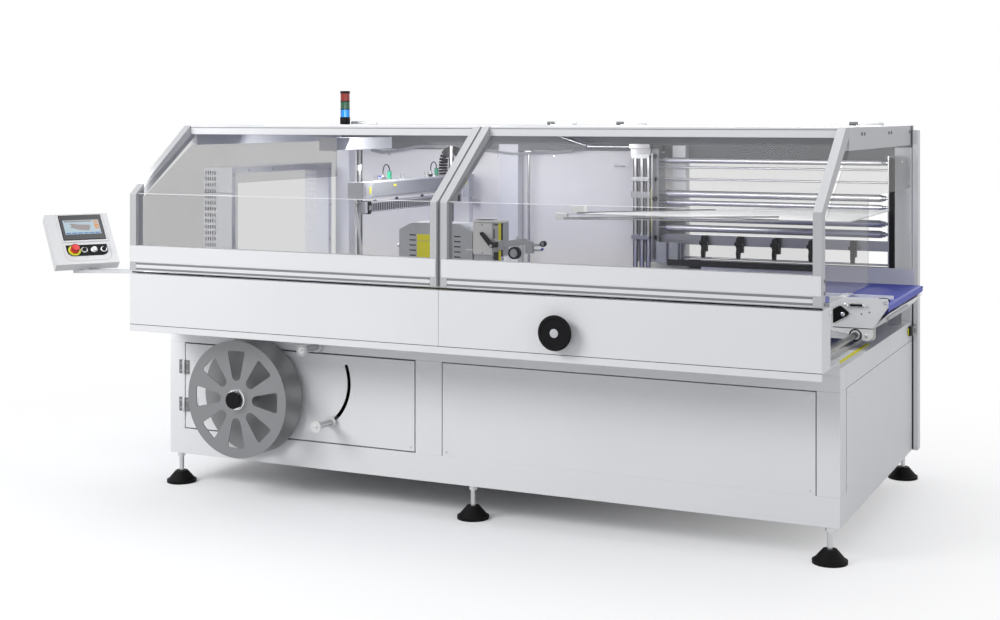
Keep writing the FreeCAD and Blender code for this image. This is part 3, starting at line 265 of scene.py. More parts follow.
white_coat = grained("white_powder_coat", (0.80, 0.805, 0.815), 0.42, grain=1400, lift=0.10)
warm_white = grained("console_coat", (0.60, 0.605, 0.61), 0.38, grain=1400, lift=0.08)
inner_white = grained("inner_white_coat", (0.90, 0.885, 0.865), 0.45, grain=1400, lift=0.08)
grey_coat = grained("grey_powder_coat", (0.36, 0.37, 0.385), 0.45, grain=1400, lift=0.10)
pale_grey = grained("pale_grey_coat", (0.55, 0.56, 0.58), 0.45, grain=1400, lift=0.08)
# This dark grey is painted shade, for the rear beam and the wall under the roof, which lie in
# shadow.
beam_shade_grey = grained("beam_painted_shade_coat", (0.155, 0.16, 0.168), 0.5, grain=1400, lift=0.08)
print("painted finishes:", white_coat.name, grey_coat.name, pale_grey.name)

# %% Metals
satin = grained("satin_anodised", (0.50, 0.505, 0.515), 0.46, metal=0.12, grain=500, lift=0.03,
                stretch=(0.04, 1, 1))
rolled = grained("rolled_steel", (0.56, 0.565, 0.58), 0.30, metal=1.0, grain=700, lift=0.04,
                 stretch=(0.03, 1, 1))
spun = grained("spun_sheet", (0.25, 0.252, 0.26), 0.38, metal=0.5, grain=260, lift=0.03)
polished = grained("hard_chrome", (0.78, 0.785, 0.80), 0.13, metal=1.0, grain=1500, lift=0.01)
dark_steel = grained("dark_steel", (0.20, 0.203, 0.21), 0.32, metal=0.9, lift=0.04)
zinc = grained("zinc_plate", (0.62, 0.63, 0.64), 0.28, metal=1.0, lift=0.04)
print("metals:", satin.name, rolled.name, spun.name, polished.name, zinc.name)

# %% [markdown]
# ## Chrome with a studio in it
# Hard chrome shows nothing of its own, only the room. In the photograph the room had black boards
# beside the lamps, so every shaft carries dark and bright stripes along its length. Real boards
# would darken the paint as well. Here the stripes are painted reflections: the metal's own tint
# follows the angle at which it is seen, bright in the middle and at the rim and dark between,
# which gives the same stripes on round bars.

# %% Chrome with painted reflections
def striped(name, tones, metal, rough):
    """Metal with painted reflections: its tint runs through the tones from the middle of a round
    bar to its rim.
    """
    material, nodes, wires = blank(name)
    mirror = settle(nodes["Principled BSDF"], Metallic=metal, Roughness=rough)
    angle = settle(nodes.new("ShaderNodeLayerWeight"), Blend=0.5)
    ramp = nodes.new("ShaderNodeValToRGB")
    places = (0.0, 0.10, 0.22, 0.50, 0.62, 0.78, 1.0)
    for share in places[1:-1]:
        ramp.color_ramp.elements.new(share)
    for stop, tone in zip(ramp.color_ramp.elements, tones):
        stop.color = (tone, tone, tone * 1.02, 1)
    join(wires, (angle, "Facing", ramp, "Fac"), (ramp, "Color", mirror, "Base Color"))
    return material


chrome = striped("painted_reflection_chrome", (0.86, 0.50, 0.07, 0.04, 0.30, 0.05, 0.18), 0.6, 0.16)
roller_reflection_chrome = striped("roller_reflection_chrome", (0.95, 0.85, 0.60, 0.30, 0.45, 0.12, 0.10), 0.5, 0.22)
print("chrome:", chrome.name, roller_reflection_chrome.name)

# %% Plastics, rubber and belt
black_plastic = grained("black_plastic", (0.006, 0.006, 0.007), 0.42, lift=0.10, shine=0.12)
foot_rubber = grained("foot_rubber", (0.006, 0.006, 0.0065), 0.6, grain=500, lift=0.20, shine=0.12)
belt_cover = grained("blue_belt_cover", (0.024, 0.046, 0.44), 0.52, grain=1300, lift=0.35)
yellow_plate = grained("yellow_plate", (0.98, 0.90, 0.012), 0.40, lift=0.03)
green_plug = grained("green_plug", (0.01, 0.30, 0.16), 0.35, lift=0.04)
red_cap = grained("red_button", (0.62, 0.012, 0.012), 0.28, lift=0.02)
white_plastic = grained("white_plastic", (0.70, 0.70, 0.69), 0.35, lift=0.03)
# Mid grey for painted shade in grooves.
groove_shade_grey = grained("groove_shade_grey", (0.24, 0.24, 0.25), 0.6, lift=0.0)
shadow_gap = grained("shadow_gap", (0.008, 0.008, 0.009), 0.85, grain=500, lift=0.0)
print("plastics:", black_plastic.name, foot_rubber.name, belt_cover.name)

# %% [markdown]
# ## Tinted windows
# The hoods are smoke-tinted sheet, 6 mm thick. A refracting glass would be closer to physics, but
# it blocks the soft light on its way in, and the inside of the machine would go dark. A dark glossy
# surface that lets most of the light straight through looks the same from outside, and is quick.

# %% The tint
tint, nodes, wires = blank("smoke_tint")
glass = settle(nodes["Principled BSDF"], Base_Color=(0.05, 0.05, 0.055, 1), Roughness=0.04,
               Alpha=0.19, Specular_IOR_Level=0.5)
print("one sheet lets through", round((1 - glass.inputs["Alpha"].default_value) ** 2, 2))

# %% [markdown]
# ## Dressing the solids
# Most solids already have the right shape and only need their finish. Pressed sheet never has a
# razor edge, so each gets a small bevel as a modifier, after a weld that closes the seams between
# its faces. A bevel in the mesh itself would change the solid, which has to stay as it was packed.

# %% Finish for each solid
def soft_edge(thing, width, angle):
    """Narrow rounding where two faces meet at more than the angle, in degrees."""
    soften = thing.modifiers.new("soft_edge", "BEVEL")
    soften.width = width * MM
    soften.segments = 2
    soften.limit_method = "ANGLE"
    soften.angle_limit = math.radians(angle)
    soften.harden_normals = True


def dress(finish, edge, *names):
    """Paint solids, and round their edges by so many millimetres."""
    for name in names:
        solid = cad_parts[name]
        solid.data.materials.clear()
        solid.data.materials.append(finish)
        if edge:
            weld = solid.modifiers.new("weld", "WELD")
            weld.merge_threshold = 0.00002
            soft_edge(solid, edge, 40)


dress(white_coat, 1.5, "cabinet_posts", "cabinet_long_rails", "cabinet_end_rails", "front_ledge",
      "fascia", "rear_uprights", "rear_corner_posts", "left_hood_rails", "right_hood_rails")
dress(white_coat, 0.8, "cabinet_covers", "cabinet_floor_and_deck", "service_door", "portal_roof")
dress(white_coat, 0, "portal_sides")
dress(warm_white, 5, "console_case")
dress(pale_grey, 2, "console_arm")
dress(satin, 1.5, "left_hood_profiles", "right_hood_profiles")
dress(pale_grey, 0.8, "left_hood_roof", "right_hood_roof", "side_sealer")
# The rear beam's dark grey is painted shade on its inner side under the roof.
dress(beam_shade_grey, 0.8, "rear_beam")
dress(inner_white, 0.8, "rear_wall")
dress(rolled, 0.8, "conveyor_frames", "roller_plates", "clamp_rail")
dress(white_plastic, 0.8, "film_former")
dress(zinc, 0.6, "left_hood_hinges", "right_hood_hinges")
dress(white_coat, 1, "infeed_guides")
# The columns, the slide and the film rollers wear chrome with painted reflection stripes.
dress(chrome, 0, "film_columns", "infeed_slide", "seal_columns")
dress(roller_reflection_chrome, 0, "film_rollers")
dress(white_plastic, 0, "guide_roller", "dancer_roller")
dress(black_plastic, 0, "seal_plugs")
dress(grey_coat, 1.5, "seal_bar", "comb_bar")
dress(black_plastic, 1, "film_clamps", "tower_body", "handwheel", "console_buttons",
      "console_screen")
dress(belt_cover, 0, "conveyor_belts")
dress(spun, 0, "reel_front_disc", "reel_rear_disc")
dress(black_plastic, 2, "reel_hub")
dress(foot_rubber, 0, "foot_pads")
dress(zinc, 0, "foot_spindles")
dress(tint, 0.6, "left_hood_glass", "right_hood_glass")
print("dressed", sum(1 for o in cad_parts.values() if o.data.materials), "solids")

# %% [markdown]
# ## Tools for small fittings
# Screws, caps and plates are small, so each is built straight from its vertices in the ruler's
# millimetres: an outline pushed through a thickness, or a profile spun on a lathe. Adding ready
# primitives and scaling them would be quicker to type, but every head would be a plain drum.

# %% Push an outline, or spin a profile
def closed(shape, rings):
    """Solid between two rings of vertices: both ends, then the sides."""
    for ring in rings:
        shape.faces.new(ring)
    for i in range(len(rings[0])):
        k = (i + 1) % len(rings[0])
        shape.faces.new((rings[0][i], rings[0][k], rings[1][k], rings[1][i]))


def prism(shape, corners, low, high, across="y"):
    """Straight solid through an outline. Its corners lie in the plane square to one axis."""
    spot = {"x": lambda a, b, level: at(level, a, b), "y": lambda a, b, level: at(a, level, b),
            "z": lambda a, b, level: at(a, b, level)}[across]
    closed(shape, [[shape.verts.new(spot(a, b, level)) for a, b in corners]
                   for level in (low, high)])


def bar(shape, low, high):
    """Straight bar between two opposite corners."""
    prism(shape, [(low[0], low[2]), (high[0], low[2]), (high[0], high[2]), (low[0], high[2])],
          low[1], high[1])


def turned(shape, centre, along, profile, sides=20):
    """Lathe work: (distance, radius) pairs spun round an axis through the centre."""
    along = Vector(along).normalized()
    side = along.orthogonal().normalized()
    other = along.cross(side)
    rings = []
    for distance, radius in profile:
        middle = Vector(centre) + along * distance
        turns = sides if radius else 1
        rings.append([shape.verts.new(at(*(middle + radius * (
            math.cos(math.tau * k / turns) * side + math.sin(math.tau * k / turns) * other))))
            for k in range(turns)])
    for one, two in zip(rings, rings[1:]):
        for k in range(sides):
            ring = [one[k % len(one)], one[(k + 1) % len(one)],
                    two[(k + 1) % len(two)], two[k % len(two)]]
            shape.faces.new(list(dict.fromkeys(ring)))


print("tools: prism, bar, turned")

# %% Put a fitting on the machine
def fit(name, shape, finish, body="root", edge=0):
    """Give a finished shape its name and paint, and let it ride on one body."""
    bmesh.ops.recalc_face_normals(shape, faces=shape.faces)
    mesh = bpy.data.meshes.new(name)
    shape.to_mesh(mesh)
    shape.free()
    mesh.materials.append(finish)
    mesh.shade_smooth()
    mesh.set_sharp_from_angle(angle=math.radians(35))
    fitting = bpy.data.objects.new(name, mesh)
    bpy.context.scene.collection.objects.link(fitting)
    if edge:
        soft_edge(fitting, edge, 30)
    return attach(fitting, body)


def piece(name, finish, *steps, body="root", edge=0):
    """Build a fitting in steps. Each step is a tool and what that tool is given."""
    shape = bmesh.new()
    for tool, *given in steps:
        tool(shape, *given)
    return fit(name, shape, finish, body, edge)


BACK, FRONT, LEFT, RIGHT = (0, 1, 0), (0, -1, 0), (-1, 0, 0), (1, 0, 0)
UP, DOWN = (0, 0, 1), (0, 0, -1)


def screws(name, spots, facing, size, finish, body="root"):
    """Button heads with a socket, all facing one way."""
    shape = bmesh.new()
    for spot in spots:
        turned(shape, spot, facing, [
            (-0.5, size / 2), (size * 0.12, size / 2), (size * 0.3, size * 0.33),
            (size * 0.3, size * 0.2), (size * 0.08, size * 0.18), (size * 0.08, 0)], 12)
    return fit(name, shape, finish, body)


print("a fitting is built, painted and hung on its body in one call")

# %% [markdown]
# ## Cabinet fixings
# The fixed covers are held by a button screw in each corner, and the door by one in each of its
# two corners away from the hinges. They are made as one piece for each panel, because nobody would
# pick a single screw out of a scene. The two leaf hinges are dark steel, and each leaf has two
# bright screws of its own.

# %% Corner screws and hinge leaves
def corners_of(left, right, low, high, inset):
    """Four places, each set in from a corner of a panel."""
    return [(x, z) for x in (left + inset, right - inset) for z in (low + inset, high - inset)]


BAY = (238, 612)
screws("door_screws", [(x, 0, z) for x, z in corners_of(1110, 1206, 244, 606, 15) if x > 1150],
       FRONT, 9, zinc, "door")
screws("cover_screws", [(x, 0, z) for x, z in corners_of(1334, 2828, *BAY, 17)], FRONT, 9, zinc)
screws("end_cover_screws", [(2918, y, z) for y, z in corners_of(104, 1386, *BAY, 17)],
       RIGHT, 9, zinc)

leaves, pins = bmesh.new(), bmesh.new()
hinge_screws = []
for low in (314, 476):
    bar(leaves, (79, -4.6, low), (104, -3, low + 60))
    bar(pins, (48, -2.2, low), (72, -0.2, low + 60))
    for z in (low + 14, low + 46):
        hinge_screws.append((93, -4.6, z))
        hinge_screws.append((58, -2.2, z))
fit("hinge_door_leaves", leaves, dark_steel, "door", 0.5)
fit("hinge_post_leaves", pins, dark_steel, edge=0.5)
screws("hinge_door_screws", hinge_screws[::2], FRONT, 8, rolled, "door")
screws("hinge_post_screws", hinge_screws[1::2], FRONT, 8, rolled)
print("cabinet screws:", 2 + 4 + 4 + len(hinge_screws))

# %% [markdown]
# ## Reel and film rollers
# The scrap film winds onto the reel, which a black grip knob holds on its shaft, against a bright
# collar. The film first passes the two rollers beside it. Their flanges are white plastic, with
# a steel sleeve between them and a bolt in the middle. All of it is turned work, so each piece is
# one profile that is spun round its shaft.

# %% Reel collar and grip
reel_low, reel_high = reach("reel_front_disc")
reel_x, reel_z = (reel_low.x + reel_high.x) / 2, (reel_low.z + reel_high.z) / 2
piece("reel_collar", polished,
      (turned, (reel_x, reel_low.y, reel_z), FRONT, [(-0.5, 44), (5, 44), (8, 41), (14, 40),
        (14, 34)], 40), body="reel")
GRIP_RADIUS = 32
piece("reel_grip_ribs", black_plastic, *[
    (turned, (reel_x + GRIP_RADIUS * math.cos(turn), reel_low.y - 15,
              reel_z + GRIP_RADIUS * math.sin(turn)), FRONT,
     [(0, 4.5), (8, 5.5), (10, 4), (10, 0)], 10)
    for turn in [math.tau * k / 8 for k in range(8)]], body="reel")
print("reel shaft at", round(reel_x), round(reel_z))

# %% Roller sleeves and bolts
def roller_fittings(name, node, body):
    """Steel sleeve between the flanges, and a bolt with a washer on the shaft's end."""
    low, high = reach(node)
    x = high.x - 24 if body != "root" else (low.x + high.x) / 2
    z = low.z + 24 if body != "root" else (low.z + high.z) / 2
    piece(name + "_sleeve", rolled,
          (turned, (x, low.y + 6, z), BACK, [(0.2, 14), (0.2, 14.6), (111, 14.6), (111, 14)], 32),
          body=body)
    piece(name + "_bolt", zinc,
          (turned, (x, low.y, z), FRONT,
           [(-0.5, 13), (0.4, 13), (0.4, 9), (1.2, 9), (1.2, 6), (4.6, 5.6), (4.6, 3), (2.2, 2.8),
            (2.2, 0)], 24), body=body)


roller_fittings("guide", "guide_roller", "root")
roller_fittings("dancer", "dancer_roller", "dancer")
print("both film rollers fitted")

# %% [markdown]
# ## Threads on the feet
# The spindles screw into the cabinet, so their lower part shows a thread. A real helix needs many
# faces for something two pixels wide. Plain ridges, one above the other, look the same.

# %% Ridged spindles and the handwheel's cap
PITCH, CREST, VALLEY = 3, 10.4, 9.4
ridges = [(0, VALLEY)]
for k in range(18):
    ridges += [(k * PITCH + 1.0, CREST), (k * PITCH + 2.0, CREST), (k * PITCH + 3.0, VALLEY)]
piece("foot_threads", zinc,
      *[(turned, (x, y, 52), UP, ridges, 16) for x in (42, 1458, 2874) for y in (24, 1428)])

wheel_low, wheel_high = reach("handwheel")
wheel_x, wheel_z = (wheel_low.x + wheel_high.x) / 2, (wheel_low.z + wheel_high.z) / 2
piece("handwheel_cap", pale_grey,
      (turned, (wheel_x, wheel_low.y + 2, wheel_z), FRONT, [(-0.5, 16.2), (1.2, 16.2), (1.8, 14),
        (1.9, 0)], 32), body="wheel")
print("six threaded feet, wheel cap at", round(wheel_x), round(wheel_z))

# %% [markdown]
# ## Hood fittings
# Each hood is a frame of grooved aluminium profile. The groove takes nuts, so it runs the whole
# length and shows as a dark line. It is drawn as a thin inlay of painted shade, set just proud of
# the profile, since cutting it would change a solid. Bolts hold the end plates, and the hood turns
# on two plated hinges on the roof's rear edge.

# %% Dark grooves along the middle profiles
# Each groove is a strip of painted shade.
LIFT = Vector((0, -0.25, 0.35))
slope_low, slope_high = Vector((0, -274, 1266)), Vector((0, 146, 1550))
for side, edge_x in (("left_hood", 1451.5), ("right_hood", 1464.5)):
    one, two = slope_low + LIFT, slope_high + LIFT
    ends = [(one.y, one.z), (two.y, two.z), (two.y, two.z - 0.8), (one.y, one.z - 0.8)]
    left, right = edge_x - 1.2, edge_x + 1.2
    piece(side + "_groove", shadow_gap, (bar, (left, -274.4, 948), (right, -273.8, 1265)),
          (prism, ends, left, right, "x"), body=side)
print("grooves beside the gap between the hoods")

# %% Bolts on the hoods' end plates
# The cheek and plate bolts are dark steel: their heads are bright metal, and the dark tone is
# partly painted shade round each head.
for side, x, facing in (("right_hood", 2916, RIGHT), ("left_hood", 0, LEFT)):
    for row, size, finish, places in (
            ("_cheek_bolts", 14, dark_steel, [(-240, z) for z in (952, 989, 1030)]),
            ("_plate_bolts", 15, dark_steel, [(y, 1524) for y in (362, 412, 886, 936, 1350)]),
            ("_strip_bolts", 9, zinc, [(1179, 1398), (1330, 1300)])):
        screws(side + row, [(x, y, z) for y, z in places], facing, size, finish, side)
print("end plates bolted")

# %% [markdown]
# ## Film-side bolts and the seam of the roof
# Inside the left hood the sheet is clamped by screws along the sloping rail, and they show through
# the tint as pale dots. Where a row follows a slope, its places are worked out from the two ends
# of the slope, so that a change of the hood's shape would only need those two points.

# %% Clamp screws behind the tint
def partway(one, two, share):
    """The place at a share of the way from one point to another."""
    return tuple(a + (b - a) * share for a, b in zip(one, two))


for side, x in (("left_hood", 16), ("right_hood", 2900)):
    spots = [partway((x, -246, 1272), (x, 120, 1519), share) for share in (0.1, 0.5, 0.9)]
    spots += [(x, -243, z) for z in (1100, 1200)]
    screws(side + "_clamp_screws", spots, FRONT, 11, zinc, side)
print("clamp screws follow the slope")

# %% [markdown]
# ## Outfeed portal
# The portal is a box of folded sheet. Its vents look nearly black in the photograph, because the
# slots lie in shade. That shade is painted on one thin dark sheet behind the near wall, which
# leaves the slots themselves to the solid. Painting dark strips on the wall would lie about its
# depth.

# %% Painted shade behind the vents, flange bolts and the cap's seam
# A thin black sheet of painted shade behind the vent slots.
piece("vent_shade_sheet", shadow_gap, (bar, (-160, 468, 930), (-90, 469.5, 1346)))
screws("portal_flange_bolts", [(-6, y, z) for y in (480, 1324) for z in (1320, 1135, 960)],
       RIGHT, 12, zinc)
screws("portal_lip_bolts", [(-6, y, 1338) for y in (600, 800, 1000, 1200)], RIGHT, 12, zinc)
piece("portal_cap_seam", shadow_gap, (bar, (-164, 463.4, 1233), (-6, 463.9, 1235.2)))
print("portal vent_shade and bolts in place")

# %% [markdown]
# ## Sealing station
# A beam crosses the belt on two columns and brings the hot wire down. Its end block, the light
# strip along its top, the springy pins and the two green plugs are fitted on the plain beam. The
# comb below it holds the film: a row of fins between two dark ends.

# %% Beam ends, top strip and pins
beam_low, beam_high = reach("seal_bar")
(left, near, base), (right, far, top) = beam_low, beam_high
piece("seal_end_blocks", pale_grey,
      *[(bar, (left - 6, y, base - 8), (right + 5, y + 90, top + 6)) for y in (near - 6, far - 84)],
      edge=2)
piece("seal_light_strips", white_coat,
      (bar, (right - 26, near + 86, top), (right + 1, far - 90, top + 7)),
      (bar, (right - 30, near + 86, base - 12), (right - 12, far - 90, base)), edge=0.8)
piece("seal_pins", polished,
      *[(turned, (722, y, top), UP, [(0, 5), (4, 5), (4, 3.2), (30, 3.2), (31, 0)], 14)
       for y in (520, 548, 760, 788, 1000, 1028)])
piece("seal_bar_feet", black_plastic,
      *[(turned, (right - 20, y, base - 12), DOWN, [(0, 6), (6, 6), (7, 9), (14, 8), (15, 0)], 14)
       for y in (500, 697, 943, 1120)])
piece("end_block_seams", shadow_gap,
      *[(bar, (right + 4.6, y, base + 8), (right + 5.6, y + 3, top - 8))
       for y in (near + 6, near + 74)])
piece("end_block_mark", yellow_plate,
      (bar, (right + 5, near + 44, base + 14), (right + 6, near + 60, base + 44)))
print("beam dressed over", round(far - near), "mm")

# %% Fins of the comb
(left, front, base), (face, back, top) = reach("comb_bar")
near, far = front + 52, back - 20
FINS, FIN_STEP = 42, 20
piece("comb_fins", rolled,
      *[(bar, (face, y, base + 5), (face + 2.4, y + 10, top - 5))
       for y in [front + 62 + k * FIN_STEP for k in range(FINS)]])
piece("comb_lips", satin, (bar, (face, near, top - 6), (face + 4, far, top + 1)),
      (bar, (face, near, base), (face + 4, far, base + 6)))
piece("comb_shadow", shadow_gap, (bar, (face, near, base + 6), (face + 0.6, far, top - 6)))
piece("comb_end_bracket", pale_grey,
      (bar, (left - 1.5, front - 1.5, base - 1.5), (face + 1.5, front + 24, top + 1.5)), edge=1)
piece("comb_end_shoe", black_plastic,
      (bar, (left - 3, front + 24, base - 6), (face + 5, front + 50, top + 4)), edge=3)
piece("comb_end_roller", rolled,
      (turned, (face + 5, front + 37, base + 12), UP, [(0, 6), (0.5, 8), (20, 8), (20.5, 6),
        (20.5, 0)], 16))
print(FINS, "fins on the comb")

# %% Shells of the plugs, the sockets and the valve
plugs, sockets = bmesh.new(), bmesh.new()
for y in (657, 1117):
    bar(plugs, (714.2, y - 7.8, 1306), (729.8, y + 7.8, 1341))
    bar(sockets, (712, y - 26, beam_high.z), (732, y + 10, beam_high.z + 12))
    turned(sockets, (722, y - 60, beam_high.z + 19), UP,
           [(0, 9), (4, 9), (5, 5), (16, 5), (17, 2.6)], 14)
fit("plug_shells", plugs, green_plug, edge=2)
bar(sockets, (710, 560, beam_high.z), (734, 610, beam_high.z + 22))
fit("seal_sockets", sockets, zinc, edge=1)
piece("valve_knob", belt_cover,
      (turned, (722, 572, beam_high.z + 22), FRONT, [(0, 6), (8, 6), (9, 4), (9, 0)], 14))
piece("yellow_tip", yellow_plate,
      (turned, (beam_high.x + 3, 635, 1280), RIGHT, [(0, 5), (8, 5), (9, 0)], 14))
print("plug shells, sockets and valve on the beam")

# %% [markdown]
# ## Side sealer, its control box and the lever
# Beside the belt stands the side sealer under a folded guard. The guard breathes through short
# slits and carries two plain yellow plates, left bare here. The white box beside it is the height
# unit: a round-ended lever clamps it, and a yellow scale stands at its edge.

# %% Guard: slits, plates and screws
guard_y = reach("side_sealer")[0].y
piece("guard_slits", shadow_gap,
      *[(bar, (left, guard_y - 0.6, low), (left + 30, guard_y + 0.2, low + 5))
       for left in (1021, 1233) for low in [999 + k * 21.5 for k in range(5)]])
piece("plain_yellow_plates", yellow_plate,
      *[(bar, (1057, guard_y - 1.2, low), (1224, guard_y, high)) for low, high in ((940, 1063),
        (1065, 1092))])
screws("guard_screws", [(x, guard_y, 1120) for x in (1046, 1236)], FRONT, 13, zinc)
piece("guard_catch", zinc,
      (turned, (962, guard_y + 30, 1040), LEFT, [(-9, 5), (6, 5), (6, 9), (14, 9), (14, 0)], 14),
      (bar, (955, guard_y + 26, 990), (961, guard_y + 34, 1040)))
print("guard dressed")

# %% Height unit with its lever and scale
piece("unit_front", inner_white, (bar, (1324, guard_y - 6, 1017), (1412, guard_y - 1, 1148)),
      (bar, (1322, guard_y - 8, 1151), (1459, guard_y + 60, 1160)),
      (bar, (1289, guard_y - 6, 1032), (1324, guard_y - 2, 1038)), edge=1)
screws("unit_screws", [(1366, guard_y - 6, z) for z in (1024, 1141)], FRONT, 8, zinc)
piece("unit_lever", black_plastic,
      (prism, [(1366, 1102), (1366, 1110), (1372, 1113), (1380, 1111), (1423, 1068), (1427, 1054),
        (1412, 1050)], guard_y - 30, guard_y - 18),
      (turned, (1419, guard_y - 6, 1058), FRONT, [(0, 10), (24, 10), (27, 8), (27, 0)], 18), edge=2)
piece("lever_hub", white_plastic,
      (turned, (1419, guard_y - 33, 1057), FRONT, [(-0.5, 6), (1.5, 6), (2.5, 4), (2.5, 0)], 18))
piece("unit_side", satin, (bar, (1412, guard_y - 4, 1012), (1458, guard_y + 60, 1149)), edge=1)
piece("unit_slots", shadow_gap, (bar, (1418, guard_y - 4.6, 1086), (1423, guard_y - 4, 1124)),
      (bar, (1418, guard_y - 4.6, 1140), (1438, guard_y - 4, 1145)),
      (bar, (1453, guard_y - 4.8, 1012), (1460, guard_y - 4, 1149)),
      (bar, (1426, guard_y - 16, 1050), (1442, guard_y - 12, 1072)),
      (bar, (1422, guard_y - 12, 985), (1440, guard_y - 4.6, 1030)))
piece("unit_clamp", rolled, (bar, (1423, guard_y - 12, 1040), (1466, guard_y - 4.6, 1080)), edge=1)
piece("height_scale", yellow_plate, (bar, (1440, guard_y - 5.6, 985), (1452, guard_y - 4.6, 1149)))
piece("scale_ticks", shadow_gap,
      *[(bar, (1440, guard_y - 5.9, 990 + k * 11), (1446, guard_y - 5.6, 991.4 + k * 11))
       for k in range(15)])
print("height unit beside the guard")

# %% Film arm with its pressure wheel
arm_y = guard_y - 10
piece("film_arm", satin,
      (prism, [(1464, 1050), (1555, 1064), (1602, 1064), (1602, 1075), (1557, 1092),
        (1469, 1077)], arm_y, arm_y + 9), (bar, (1566, arm_y - 4, 1031), (1599, arm_y + 9, 1066)),
      (turned, (1600, arm_y + 4, 1066), RIGHT, [(0, 5), (28, 5), (28, 0)], 12),
      (turned, (1600, arm_y + 4, 1045), RIGHT, [(0, 4), (36, 4), (36, 0)], 12), edge=1)
piece("arm_tyres", black_plastic,
      (turned, (1521, arm_y - 22, 1031), BACK, [(2, 17), (0, 19), (2, 25.5), (24, 26), (27, 22),
        (27, 0)], 32),
      (turned, (1642, arm_y - 4, 1071), BACK, [(2, 7), (0, 8), (2, 12), (20, 12), (21, 0)], 24))
piece("arm_hubs", rolled,
      (turned, (1521, arm_y - 21, 1031), FRONT, [(-2, 18), (0, 17), (0, 8), (3, 7), (3, 0)], 28),
      (turned, (1642, arm_y - 5, 1071), FRONT, [(-3, 7), (0, 6), (0, 0)], 20),
      *[(turned, (x, arm_y + 4, z - 6), UP, [(0, 6), (6, 6), (8, 4), (8, 0)], 14)
       for x, z in ((1528, 1096), (1576, 1078), (1592, 1078))])
piece("arm_blue_pin", belt_cover,
      (turned, (1642, arm_y, 1050), FRONT, [(0, 5), (8, 5), (9, 0)], 16))
piece("unit_rods", polished,
      *[(turned, (x, guard_y + 30, 695), UP, [(0, 7), (440, 7), (441, 0)], 14)
       for x in (1421, 1434)])
print("pressure wheel and guide wheel on the arm")

# %% [markdown]
# ## Behind the sealing station
# On the back wall run the supply lines: a grey bundle under the beam, a cable chain that follows
# the sealing beam up and down, a grey terminal box with a small plain mark, and a slim white
# strut. The chain is a row of separate links on a bent path, because a smooth tube would hide
# what lets it bend.

# %% Cable chain
HALF_WIDE, LINK = 13, 11
chain = bmesh.new()
path = [(654, 1288), (652, 1330), (654, 1372), (662, 1404), (682, 1424), (706, 1430), (728, 1420),
        (742, 1398)]
for (x0, z0), (x1, z1) in zip(path, path[1:]):
    steps = max(2, round(math.hypot(x1 - x0, z1 - z0) / 14))
    for k in range(steps):
        x, z = x0 + (x1 - x0) * k / steps, z0 + (z1 - z0) * k / steps
        size = math.hypot(z0 - z1, x1 - x0)
        nx, nz = (z0 - z1) / size * HALF_WIDE, (x1 - x0) / size * HALF_WIDE
        tx, tz = (x1 - x0) / size * LINK, (z1 - z0) / size * LINK
        prism(chain, [(x - nx, z - nz), (x + nx, z + nz), (x + nx + tx, z + nz + tz),
                      (x - nx + tx, z - nz + tz)], 1300, 1345)
fit("cable_chain", chain, black_plastic)
print("cable chain in", len(path) - 1, "bends")

# %% Bundle, terminal box and strut
bundle = bmesh.new()
runs = [((202, 1416), (269, 1404)), ((269, 1404), (367, 1416)), ((367, 1416), (481, 1436)),
        ((481, 1436), (700, 1436)), ((700, 1436), (1010, 1404)), ((1010, 1404), (1320, 1420))]
for (x0, z0), (x1, z1) in runs:
    for lift in (0, 7):
        way = Vector((x1 - x0, 0, z1 - z0))
        turned(bundle, (x0, 1384 + lift, z0 + lift), way, [(0, 4), (way.length, 4)], 10)
fit("supply_lines", bundle, grey_coat)
piece("terminal_box", pale_grey, (bar, (771, 1300, 1194), (806, 1360, 1308)), edge=2)
piece("terminal_bracket", pale_grey, (bar, (776, 1360, 1150), (800, 1444, 1180)),
      (bar, (782, 1352, 1010), (796, 1360, 1196)))
piece("terminal_mark", yellow_plate, (bar, (784, 1298.8, 1258), (794, 1300, 1276)))
piece("white_strut", white_plastic,
      (prism, [(723, 1214), (731, 1214), (765, 991), (757, 991)], 340, 348),
      (turned, (727, 350, 1214), FRONT, [(0, 9), (12, 9), (12, 4), (16, 4), (16, 0)], 18))
screws("wall_bolts", [(x, 1444, 1397) for x in (278, 585, 888, 1200)], FRONT, 16, zinc)
print("supply lines on the back wall")

# %% [markdown]
# ## Film rollers and clamps
# The film comes off its rollers at the rear right. Each tube ends in a turned cap on its journal,
# and black spring clamps with little levers hang from the rail below. One clamp is drawn as a
# side view pushed through its thickness, and repeated where the solids hang.

# %% Caps, clamps and the scale
roll_low, roll_high = reach("film_rollers")
caps = bmesh.new()
for radius, z in ((13, 1387), (17, 1232), (13, 1191), (17, 1120), (17, 1074)):
    for x, facing in ((roll_low.x + 45, LEFT), (roll_high.x - 45, RIGHT)):
        turned(caps, (x, 1350, z), facing, [(-2, radius + 0.6), (5, radius + 0.6), (8, radius - 3),
                                             (20, radius - 4), (20, 7)], 24)
fit("roller_caps", caps, zinc)
clamps, clamp_pins = bmesh.new(), bmesh.new()
side_view = [(0, 1042), (-16, 1036), (-26, 1016), (-22, 1000), (-12, 992), (-20, 972), (-14, 948),
             (-4, 944), (4, 966), (0, 990)]
for x in (1988, 2153, 2318, 2483, 2668):
    prism(clamps, [(1309 + a, b) for a, b in side_view], x + 4, x + 22, "x")
    turned(clamps, (x + 26, 1300, 1012), RIGHT, [(-30, 9), (4, 9), (6, 6), (6, 0)], 16)
    turned(clamp_pins, (x + 32, 1300, 1012), RIGHT, [(-0.5, 4), (1.5, 4), (1.5, 0)], 12)
fit("clamp_levers", clamps, black_plastic, edge=1)
fit("clamp_pins", clamp_pins, zinc)
piece("film_scale", yellow_plate, (bar, (1762.4, 1262, 1048), (1764, 1271, 1260)))
